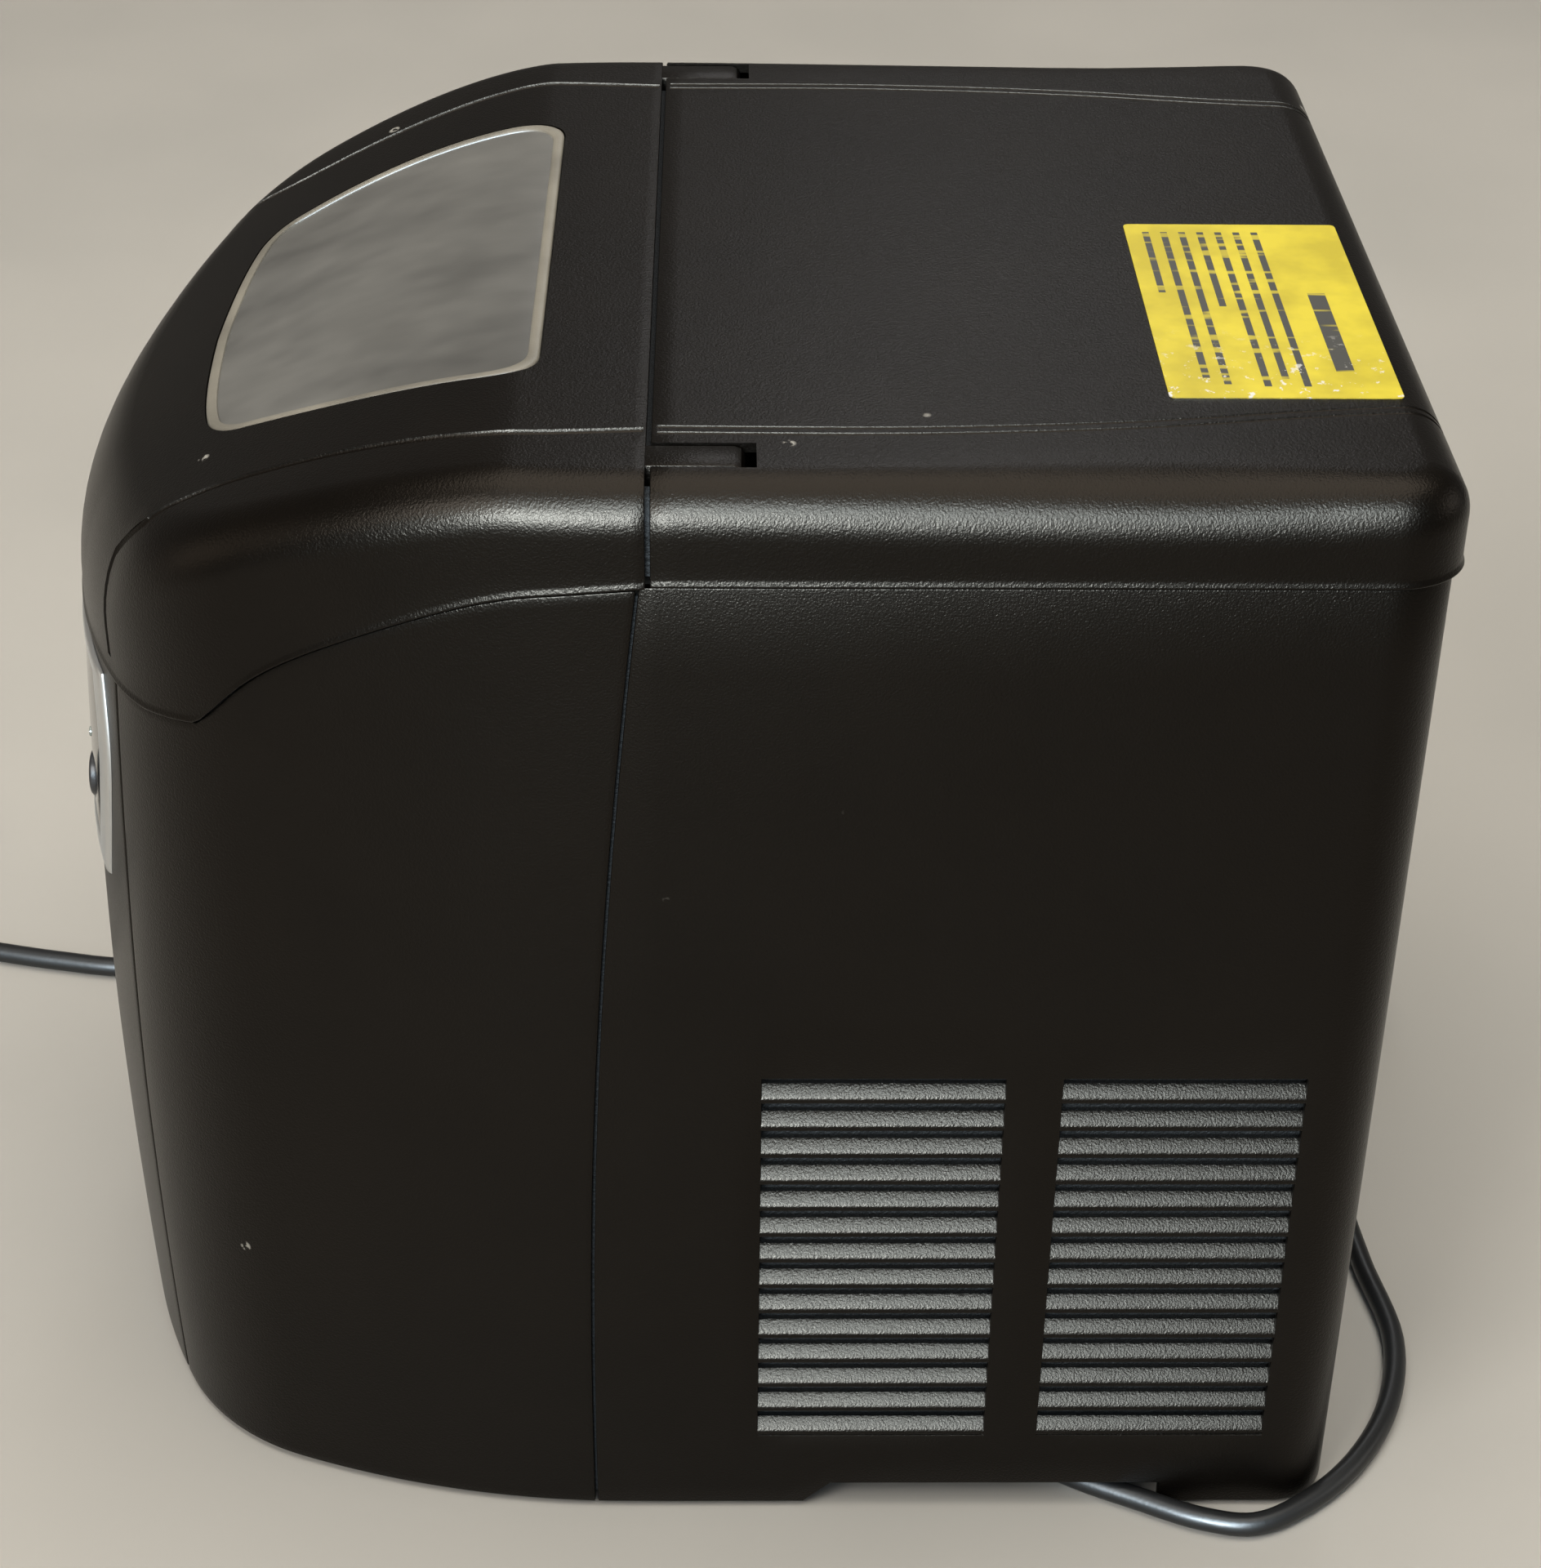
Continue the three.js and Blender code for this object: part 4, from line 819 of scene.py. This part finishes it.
def louvre_slats():
    """Sloped slats with rounded lips, following the wall."""
    lip = [(-2.4, -1.3), (-1, -1.45), (-0.35, -1.2), (-0.05, -0.6), (0, 0.1), (-0.25, 0.7), (-0.7, 1.25)]
    section = lip + [(-2.5, 3.3), (-3.1, 3.75), (-3.6, 3.5), (-3.7, 2.9)]
    made = []
    for low, high in LOUVRE_BLOCKS:
        s = s_of_y(np.linspace(low - 0.6, high + 0.6, 24 if high > 120 else 3))
        for sign in (1, -1):
            for k in range(LOUVRES):
                z = LOUVRE_Z0 - k * LOUVRE_PITCH
                rings = np.stack([wall(s * sign, z + dz, off)[0] for off, dz in section], 1)
                made.append(smooth(tube("slat", rings), 30))
    return join("louvre_slats", made)


# The small lip at a cover's lower edge: (offset outwards, height above the edge).
BEAD = [(0.45, 0.0), (0.55, 0.35), (0.5, 0.75), (0.1, 1.5), (0.0, 2.3)]


def cover(name, rim, bottom, inset, drop, top, across=26, straight=0):
    """A shell with an outer and an inner skin, as high as the function top says.
    The rim holds x, y and the outward normals, from the right seam to the left one. Each column
    climbs the wall, rounds over and runs in. straight counts the columns on each side of the
    middle that lie on one straight line."""
    x, y, nx, ny = rim
    drop = np.minimum(drop, top(y) - bottom - 5)

    def skin(t):
        rows = []
        for out, up in BEAD:
            grow = -t if t else out
            rows.append(np.stack([x + nx * grow, y + ny * grow, bottom + up], -1))
        lip_top = bottom + BEAD[-1][1]
        shoulder = top(y) - t - (drop - t)
        for k in (0.3, 0.65):
            level = lip_top * (1 - k) + shoulder * k
            rows.append(np.stack([x - nx * t, y - ny * t, level], -1))
        for a in np.linspace(0, math.pi / 2, 13):
            run = t + (inset - t) * (1 - math.cos(a))
            ix, iy = x - nx * run, y - ny * run
            rows.append(np.stack([ix, iy, top(iy) - t - (drop - t) * (1 - math.sin(a))], -1))
        grid = np.stack(rows)
        ladder = []
        for k in range((grid.shape[1] - 1) // 2 - straight):
            a, b = grid[-1, k], grid[-1, grid.shape[1] - 1 - k]
            middle = a + (b - a) * np.linspace(0, 1, across + 1)[1:-1, None]
            middle[:, 2] = top(middle[:, 1]) - t
            ladder.append(middle)
        return grid, np.concatenate([grid.reshape(-1, 3), *ladder])

    grid, outer = skin(0)
    _, inner = skin(WALL_THICK)
    n, m = grid.shape[:2]
    faces = [
        (i * m + j, i * m + j + 1, (i + 1) * m + j + 1, (i + 1) * m + j)
        for i in range(n - 1) for j in range(m - 1)
    ]  # fmt: skip
    ring, half, count = (n - 1) * m, (m - 1) // 2, n * m
    lines = []
    for k in range(half - straight):
        lines.append([ring + k, *range(count, count + across - 1), ring + m - 1 - k])
        count += across - 1
    last = range(ring + half - straight, ring + half + straight + 1)
    lines.append(list(last) if straight else [ring + half] * (across + 1))
    for low, high in zip(lines, lines[1:]):
        for k in range(across):
            face = list(dict.fromkeys([low[k], high[k], high[k + 1], low[k + 1]]))
            if len(face) > 2:
                faces.append(face)
    offset = len(outer)
    both = faces + [[v + offset for v in reversed(f)] for f in faces]
    both += [(q, p, p + offset, q + offset) for p, q in open_edges(faces)]
    return rounded(mesh_object(name, np.concatenate([outer, inner]), both, merge=1e-3), 0.35, angle=50)


def surface_path(obj, starts, direction):
    """Where rays from points in millimetres meet a mesh, and the surface normals there."""
    tree = BVHTree.FromObject(obj, bpy.context.evaluated_depsgraph_get())
    hits = []
    for start in starts:
        at, normal, _, _ = tree.ray_cast(Vector(start) * MM, Vector(direction))
        if at is not None:
            hits.append((np.array(at) / MM, np.array(normal)))
    return hits


def groove_cutter(hits, radius, lift):
    return sweep("cutter", [p + n * lift for p, n in hits], radius)


# Path of the lid's groove: (x, y) over its top, then (x, z) down its front.
LID_GROOVE = [
    (118, -10), (120, -54), (117, -70), (113, -86), (107, -108), (102, -128), (101, -140), (100.5, -147),
]  # fmt: skip
LID_GROOVE_FRONT = [(96, 299), (93, 294)] + [(GROOVE_X, z) for z in (288, 280, 270, 262, 250)]


def lid_rim():
    """Rim of the lid from the right seam round the front to the left seam."""
    start, turn = s_of_y(SEAM_Y - 2.0), 176
    half = np.concatenate([np.linspace(start, turn, 44)[:-1], np.linspace(turn, 0, 66)])
    s = np.concatenate([half, -half[-2::-1]])
    x, y, nx, ny = plan_at(s)
    y = lean(y, 258.0)
    x, y = x + nx, y + ny
    y[[0, -1]] = SEAM_Y - 0.65
    nx[[0, -1]], ny[[0, -1]] = (1, -1), 0
    return x, y, nx, ny


def nose_shape(ny):
    """Width and height of the lid's shoulder: larger round its front."""
    nose = np.maximum(0, -ny)
    return 14 + 4 * nose**6, 14 + 24 * nose**5


def lid_frame():
    rim = lid_rim()
    shell = cover("lid_shell", rim, skirt_z(rim[1]), *nose_shape(rim[3]), lid_top)
    cutters = []
    for sign in (1, -1):
        top = surface_path(shell, [(sign * x, y, 400) for x, y in spline(LID_GROOVE, 90)], (0, 0, -1))
        front = surface_path(shell, [(sign * x, -260, z) for x, z in LID_GROOVE_FRONT], (0, 1, 0))
        cutters.append(groove_cutter(top + front, 1.5, 0.35))
    window = prism("cutter", window_outline(0), 280, 380)
    return smooth(carve(shell, *cutters, window), 32)


def arms():
    """The two hinge arms that reach back from the lid into the rear cover."""
    under = [(-19, 334.2), (-16, 333.6), (4, 333.6), (6.6, 335), (7.6, 337.5)]
    profile = under + [(7.6, 340.5), (6.6, 342.2), (5, 342.8), (-19, 342.8)]
    made = []
    for sign in (1, -1):
        x0, x1 = sorted((sign * 126.5, sign * 137.5))
        made.append(rounded(prism("arm", profile, x0, x1, along_x=True), 0.5))
    return join("lid_hinge_arms", made)


def window_outline(grow, steps=14):
    """Closed outline of the lid's window, counter-clockwise from the middle of its front edge."""
    rear = (76 + grow, -45 + grow)
    curves = [
        ((0, -142 - grow), (40, -141 - grow), (58, -136.5 - grow)),
        ((58, -136.5 - grow), (69 + grow, -133 - grow / 2), (72 + grow, -124)),
        ((72 + grow, -124), (84 + grow, -95), (87 + grow, -62)),
        ((87 + grow, -62), (88 + grow, -45 + grow), rear),
    ]
    half = []
    for a, b, c in np.array(curves, float):
        for t in np.linspace(0, 1, steps + 1)[:-1]:
            half.append(tuple((1 - t) ** 2 * a + 2 * t * (1 - t) * b + t * t * c))
    half += [(rear[0] * (1 - t), rear[1]) for t in np.linspace(0, 1, 11)]
    left = [(-x, y) for x, y in half[1:-1]][::-1]
    return half + left


def lid_window():
    """A smoky pane in a paler moulded rim, both following the lid's curve."""
    section = [(-0.35, -0.6), (-0.5, -0.15), (-1.0, 0.1), (-2.6, 0.1), (-3.3, -0.15), (-3.6, -0.7)]
    section += [(-3.6, -2.6), (-0.35, -2.6)]
    rim = band("window_rim_ring", [
        np.array([(x, y, lid_top(y) + up) for x, y in window_outline(grow)]) for grow, up in section
    ])  # fmt: skip
    rim.data.materials.append(RIM)
    outline = np.array(window_outline(-3.5))
    count = len(outline) // 2
    t = np.linspace(0, 1, 21)[:, None]
    rows = []
    for k in range(1, count):
        line = outline[k] * (1 - t) + outline[-k] * t
        rows.append(np.c_[line, lid_top(line[:, 1]) - 0.75])
    grid = np.stack(rows)
    pane = smooth(sheet("pane", grid, np.broadcast_to([0.0, 0.0, -1.0], grid.shape), 2.0), 50)
    pane.data.materials.append(WINDOW)
    return join("lid_window_pane", [rim, pane])


REAR_GROOVE = [(118.5, -20), (118.5, 50), (114.5, 107), (108.5, 149), (106.5, 166), (105, 182)]
BACK_COLUMNS = 19


def rear_rim():
    """Rim of the rear cover from the right seam round the back to the left seam."""
    end = PLAN_S[-1]
    start, corner, back = s_of_y(SEAM_Y + 2), s_of_y(CORNER_Y), end - BACK_HALF
    side, turn = np.linspace(start, corner, 40), np.linspace(corner, back, 24)
    half = np.concatenate([side[:-1], turn[:-1], np.linspace(back, end, BACK_COLUMNS + 1)])
    s = np.concatenate([half, -half[-2::-1]])
    x, y, nx, ny = plan_at(s)
    x, y = x + nx, y + ny + np.maximum(0, ny)
    y[[0, -1]] = SEAM_Y + 0.65
    return x, y, nx, ny


def rear_cover():
    """The flat cover behind the lid, with two fine grooves and a slot for each hinge arm."""
    rim = x, y, _, ny = rear_rim()
    grown = np.clip((y + 15) / 120, 0, 1) ** 1.5 * np.clip((164 - y) / 40, 0, 1)
    radius = 14 + 4 * grown - 1.5 * np.maximum(0, ny)
    shell = cover(
        "rear_cover_shell", rim, np.full(len(x), LIP_Z), radius, np.minimum(radius, 15.5),
        lambda at: np.full(np.shape(at), TOP_Z), across=2 * BACK_COLUMNS, straight=BACK_COLUMNS,
    )  # fmt: skip
    cutters = []
    for sign in (1, -1):
        for shift in (-1.7, 1.7):
            along = [(sign * (px + shift), py, 400) for px, py in spline(REAR_GROOVE, 60)]
            down = [(sign * (105 + shift), 240, z) for z in (338, 335, 331, 325, 319, 312)]
            hits = surface_path(shell, along, (0, 0, -1)) + surface_path(shell, down, (0, -1, 0))
            cutters.append(groove_cutter(hits, 0.8, 0.25))
        x0, x1 = sorted((sign * 125.6, sign * 138.4))
        cutters.append(block("cutter", x0, x1, SEAM_Y - 4, 10.4, 331, 360))
    return smooth(carve(shell, *cutters), 32)


def label():
    """A thin film with rounded corners."""
    outline = []
    for cx, cy, start in ((98.5, 117, -90), (98.5, 174, 0), (-9.5, 174, 90), (-9.5, 117, 180)):
        turn = [math.radians(start + a) for a in (0, 30, 60, 90)]
        outline += [(cx + 1.5 * math.cos(a), cy + 1.5 * math.sin(a)) for a in turn]
    return smooth(prism("label_film", outline, TOP_Z + 0.05, TOP_Z + 0.32), 30)


# ---- Control panel ---------------------------------------
PANEL_EDGE = [(73, 177), (79, 199), (83, 225), (79, 248)]
PANEL_Z, PANEL_HALF = 213, 36


def panel_outline(side, end, steps=10):
    """The panel's outline, drawn in by side at its ends and by end at its top and bottom."""
    shrink = 1 - end / PANEL_HALF
    right = [(x - side, PANEL_Z + (z - PANEL_Z) * shrink) for x, z in spline(PANEL_EDGE, 3 * steps)]
    (low_x, low_z), (high_x, high_z) = right[0], right[-1]
    across = np.linspace(-1, 1, 25)[1:-1]
    upper, lower = [(-high_x * t, high_z) for t in across], [(low_x * t, low_z) for t in across]
    return right + upper + [(-x, z) for x, z in right[::-1]] + lower


def front_point(x, z, offset):
    """The point of the front wall at x and z, moved outwards by the offset."""
    s = s_of_x(abs(x)) * (1 if x >= 0 else -1)
    return wall(s, z, offset)[0]


def panel_bezel():
    """A moulded frame round the panel; each row of section is the draw-in and the offset."""
    section = [
        (0, 0, 0.2), (0.5, 0.4, 0.9), (1.4, 1, 1.4), (4, 2, 1.5), (7, 3, 1.5), (9.2, 4.2, 1.45),
        (10.4, 5, 1.2), (11, 5.4, 0.4), (11, 5.4, 0.05), (0, 0, 0.05),
    ]  # fmt: skip
    return band("panel_bezel_ring", [
        np.array([front_point(x, z, offset) for x, z in panel_outline(side, end)])
        for side, end, offset in section
    ])  # fmt: skip


BUTTON_X, BUTTON_Z, LENS_Z = (-45, -15, 15, 45), 194.0, 208.0


def panel_glass():
    """The curved glass, with a hole for each button."""
    right = panel_outline(11.6, 6.0)[:31]
    grid = np.array([[front_point(x * u, z, 1.0) for u in np.linspace(-1, 1, 41)] for x, z in right])
    glass = sheet("panel_glass_sheet", grid, np.broadcast_to([0.0, 1.0, 0.0], grid.shape), 0.7)
    hole = [(0, -40), (7.7, -40), (7.7, 40), (0, 40)]
    holes = [lathe("cutter", hole, 40, "y", (x, -180, BUTTON_Z)) for x in BUTTON_X]
    return smooth(carve(glass, *holes), 30)


def button(name, x):
    """A dark cap with a dished face and a small silver mark."""
    face = float(front_point(x, BUTTON_Z, 0)[1])
    edge = [(6.9, 0), (7, -0.3), (7, -10.2), (6.85, -10.7), (6.4, -11), (5.6, -11.05), (4.8, -10.75)]
    profile = [(0, 0), *edge, (0, -10.45)]
    cap = smooth(lathe("cap", profile[::-1], 44, "y", (x, face - 1.2 + 11.05, BUTTON_Z)), 40)
    cap.data.materials.append(KEYS)
    mark = lathe("mark", bezel(1.7, 0.45, 0.2), 28, "y")
    mark.data.transform(Matrix.Rotation(math.pi, 4, "X"))
    mark.data.transform(Matrix.Translation(Vector((x, face - 0.6, BUTTON_Z)) * MM))
    mark.data.materials.append(SILVER)
    return join(name + "_key", [cap, smooth(mark, 40)])


def indicators():
    """Small lenses in the glass, one above each button."""
    made = []
    for x in BUTTON_X:
        face = float(front_point(x, LENS_Z, 0)[1])
        lens = [(0, 0.9), (1.5, 0.9), (1.5, -0.05), (1.3, -0.25), (0.8, -0.35), (0, -0.4)]
        made.append(smooth(lathe("lens", lens, 24, "y", (x, face - 1.05, LENS_Z)), 40))
    return join("indicator_lenses", made)


# ---- Build the outside -----------------------------------
piece(front_shell(), "casing", BLACK, "body", "front_shell")
piece(rear_housing(), "casing", BLACK, "body", "rear_housing")
piece(louvre_slats(), "casing", BLACK, "body")
piece(seam_backing(), "casing", MATTE_BLACK, "body")
piece(cover_seam_backing(), "casing", MATTE_BLACK, "body")
# The sheets behind the louvres are painted shade in the gaps between the slats.
piece(louvre_shade_sheets(), "casing", MATTE_BLACK, "dark_plastic")
piece(lid_frame(), "lid", BLACK, "body", "lid_frame")
piece(arms(), "lid", BLACK, "body")
piece(lid_window(), "lid", None, "window", "lid_window")
piece(rear_cover(), "casing", BLACK, "body", "rear_top_cover")
piece(label(), "casing", LABEL, "label", "warning_label")
piece(panel_bezel(), "casing", SILVER, "silver", "panel_bezel")
piece(panel_glass(), "casing", GLOSS, "panel", "panel_glass")
piece(indicators(), "casing", LENS, "panel")
for key, x in zip(("power", "size", "clean", "timer"), BUTTON_X):
    piece(button(key, x), key + "_key", None, "panel", key + "_button")


# ---- Small parts -----------------------------------------
def loft(name, stations, sides=36):
    """A solid along X through superellipse sections: (x, half width, half height, centre, power)."""
    turn = 2 * math.pi * np.arange(sides) / sides
    c, d = np.cos(turn), np.sin(turn)
    rings = []
    for x, half_y, half_z, (y, z), power in stations:
        ys = y + half_y * np.copysign(np.abs(c) ** (2 / power), c)
        zs = z + half_z * np.copysign(np.abs(d) ** (2 / power), d)
        rings.append(np.stack([np.full(sides, x), ys, zs], -1))
    return smooth(tube(name, rings), 35)


def strain_relief():
    """A flanged and ribbed sleeve."""
    profile = [(0, 186.4), (9.6, 186.4), (10, 186.9), (10, 188.4), (9.5, 189), (8.2, 189.3)]
    for k in range(8):
        y = 190.2 + 2.9 * k
        r = 8.0 - 0.38 * k
        rib = [(0, 0), (0, 1.5), (0.3, 1.75), (1.3, 1.9), (1.3, 2.6), (0.5, 2.75)]
        profile += [(r - inset, y + along) for inset, along in rib]
    x, end, z = STRAIN_RELIEF
    profile += [(4.6, end - 0.2), (4.2, end), (0, end)]
    return smooth(lathe("ribbed_strain_relief", profile, 40, "y", (x, 0, z)), 30)


def plug_parts():
    """The moulded plug with its ribbed sleeve, and its two flat blades."""
    y, z = c = PLUG_AT[1:]
    sleeve = []
    for k in range(6):
        r = 4.9 + 0.3 * k
        for along, inset in ((0, 0), (1.7, 0), (1.8, 0.8), (2.7, 0.7)):
            sleeve.append((-220.4 - 2.9 * k - along, r - inset, r - inset, c, 2))
    body = [
        (-237.4, 6.6, 6.4, c, 2.2), (-238.4, 8.6, 8, c, 2.5), (-241, 10.6, 9.2, c, 3),
        (-245, 11.6, 9.8, c, 3.6), (-256, 11.2, 9.5, c, 3.8), (-262, 11.6, 9.7, c, 4),
        (-268, 12, 10, c, 4.4), (-270.6, 12, 10, c, 4.4), (-271.6, 11.6, 9.6, c, 4.2),
        (-272, 10.8, 8.8, c, 4),
    ]  # fmt: skip
    parts = [loft("plug_body", body[::-1]), loft("plug_sleeve", sleeve[::-1])]
    for part in parts:
        part.data.materials.append(CORD_SKIN)
    for dy in (-6.35, 6.35):
        blade = block("blade", -289.6, -271.6, y + dy - 0.76, y + dy + 0.76, z - 3.1, z + 3.1)
        parts.append(rounded(blade, 0.45))
        parts[-1].data.materials.append(NICKEL)
    return parts


def rear_screw(name, x, z):
    """A pan head with a cross recess, and its shank."""
    y = REAR_Y
    shank = [(0, -9), (1.9, -9), (2, 0.3)]
    dome = [(4.1, 0.3), (4.2, 0.6), (4, 1.1), (3.2, 1.6), (1.8, 1.85), (0, 1.9)]
    head = lathe(name, shank + dome, 36, "y", (x, y, z))
    arms_of_cross = ((2.1, 0.42), (0.42, 2.1))
    cuts = [block("cutter", x - a, x + a, y + 0.75, y + 3, z - b, z + b) for a, b in arms_of_cross]
    return smooth(carve(head, *cuts), 30)


def drain_bung():
    """A flanged rubber bung with a flat grip."""
    y, z = -14.0, 30.0
    rim = [(9.4, -140.4), (10, -141), (10, -142), (9.5, -142.6), (7.6, -142.6), (7.2, -142.2)]
    flange = lathe("bung", [(0, -140.4), *rim, (0, -142.2)][::-1], 44, "x", (0, y, z))
    stations = ((-149.3, 1.1, 7, 3), (-149, 1.5, 7.5, 3), (-146, 1.3, 7.3, 4), (-142, 1.8, 7.8, 4))
    grip = loft("grip", [(at, hw, hh, (y, z), power) for at, hw, hh, power in stations])
    return join("rubber_drain_bung", [smooth(flange, 30), grip])


def foot_pad(name, x, y):
    """A round foot with a shallow recess below."""
    side = [(8.6, 10.2), (9.4, 9.6), (10.2, 3), (11, 1.2), (10.6, 0.35), (9.9, 0), (7.4, 0), (6.9, 0.8)]
    return smooth(lathe(name, [(0, 10.2), *side, (0, 0.8)][::-1], 44, "z", (x, y, 0)), 30)


for k, (x, z) in enumerate([(118, 40), (-118, 40), (118, 296), (-118, 296)], start=1):
    piece(rear_screw(f"back_screw_{k}", x, z), "casing", STEEL, "steel", f"rear_screw_{k}")
piece(drain_bung(), "drain_bung", RUBBER, "rubber", "drain_cap")
relief = piece(strain_relief(), "casing", CORD_SKIN, "rubber", "strain_relief")
plug = piece(join("moulded_plug", plug_parts()), "casing", None, "rubber", "cord_plug")
for k, (x, y) in enumerate([(118, -112), (-118, -112), (118, 156), (-118, 156)], start=1):
    piece(foot_pad(f"foot_pad_{k}", x, y), "casing", RUBBER, "rubber", f"rubber_foot_{k}")


# ---- CAD nodes that keep their shape ---------------------
FINISHES = {
    "liner": LINER, "foam": FOAM, "clear": CLEAR, "steel": STEEL, "nickel": NICKEL, "fins": FINS,
    "copper": COPPER, "black_metal": ENAMEL, "dark_plastic": DARK, "rubber": RUBBER, "board": BOARD,
    "body": BLACK, "silver": SILVER, "panel": GLOSS, "window": WINDOW, "label": LABEL,
}  # fmt: skip


def smoothing_group():
    """Geometry nodes that weld a CAD mesh and smooth all but its sharp edges."""
    group = bpy.data.node_groups.new("weld_and_smooth", "GeometryNodeTree")
    group.interface.new_socket("Geometry", in_out="INPUT", socket_type="NodeSocketGeometry")
    group.interface.new_socket("Geometry", in_out="OUTPUT", socket_type="NodeSocketGeometry")
    put = group.nodes.new
    start, end = put("NodeGroupInput"), put("NodeGroupOutput")
    weld = put("GeometryNodeMergeByDistance")
    weld.inputs["Distance"].default_value = 1e-6
    soft, sharp = put("GeometryNodeSetShadeSmooth"), put("GeometryNodeSetShadeSmooth")
    sharp.domain = "EDGE"
    sharp.inputs["Shade Smooth"].default_value = False
    angle, over = put("GeometryNodeInputMeshEdgeAngle"), put("FunctionNodeCompare")
    over.data_type = "FLOAT"
    over.operation = "GREATER_THAN"
    over.inputs[1].default_value = math.radians(38)
    wires = [
        (start.outputs[0], weld.inputs["Geometry"]),
        (weld.outputs["Geometry"], soft.inputs["Geometry"]),
        (soft.outputs["Geometry"], sharp.inputs["Geometry"]),
        (angle.outputs["Unsigned Angle"], over.inputs[0]),
        (over.outputs["Result"], sharp.inputs["Selection"]),
        (sharp.outputs["Geometry"], end.inputs[0]),
    ]
    for a, b in wires:
        group.links.new(a, b)
    return group


SMOOTHING = smoothing_group()
slots = {row["node"]: row["material_slot"] for row in frame["record"]["subparts"]}
for name, obj in frame["nodes"].items():
    obj.data.materials.clear()
    obj.data.materials.append(FINISHES[slots[name]])
    tidy = obj.modifiers.new("weld_and_smooth", "NODES")
    tidy.node_group = SMOOTHING


# ---- Stage and light -------------------------------------
def stage():
    data = bpy.data.meshes.new("floor")
    data.from_pydata([(-6, -6, 0), (6, -6, 0), (6, 6, 0), (-6, 6, 0)], [], [(0, 1, 2, 3)])
    data.materials.append(floor_material())
    link("floor", data)


def area_light(name, at, aim, size, power, color, glint=False):
    """A rectangular lamp in metres and watts; a glint lamp shows only as highlights."""
    data = bpy.data.lights.new(name, "AREA")
    data.shape = "RECTANGLE"
    data.size, data.size_y = size
    data.energy = power
    data.color = color
    made = link(name, data)
    at, aim = Vector(at), Vector(aim)
    made.location = at
    made.rotation_euler = (aim - at).to_track_quat("-Z", "Y").to_euler()
    made.visible_diffuse = not glint


stage()
LAMPS = [
    ("shoulder_glint", (2.1, -0.42, 0.98), (0.1, 0, 0.25), (0.6, 0.4), 235, (0.76, 0.9, 1), True),
    ("slat_glint", (1.65, 0.1, 1.5), (0.1, 0, 0.1), (0.5, 0.5), 78, (0.72, 0.88, 1), True),
    ("key", (1.7, -1.3, 1.9), (0, 0, 0.15), (1.1, 1.1), 34, (1, 0.97, 0.93)),
    ("overhead", (0.1, 0.1, 2.3), (0, 0, 0.1), (2, 2), 48, (1, 0.95, 0.87)),
    ("far_side", (-1.7, 0.25, 1.65), (0, 0, 0.3), (0.5, 0.5), 3.5, (0.95, 0.97, 1)),
    ("front_fill", (0.2, -2.2, 0.8), (0, 0, 0.2), (1.2, 0.9), 3.5, (1, 0.86, 0.7)),
    ("back_fill", (0.2, 2.2, 0.9), (0, 0, 0.2), (1.2, 0.9), 5, (1, 0.95, 0.88)),
]
for lamp in LAMPS:
    area_light(*lamp)
world = bpy.data.worlds.new("studio")
world.use_nodes = True
sky = world.node_tree.nodes["Background"]
sky.inputs["Color"].default_value = (0.86, 0.82, 0.76, 1)
sky.inputs["Strength"].default_value = 0.17
bpy.context.scene.world = world
bpy.context.scene.view_settings.view_transform = "Standard"
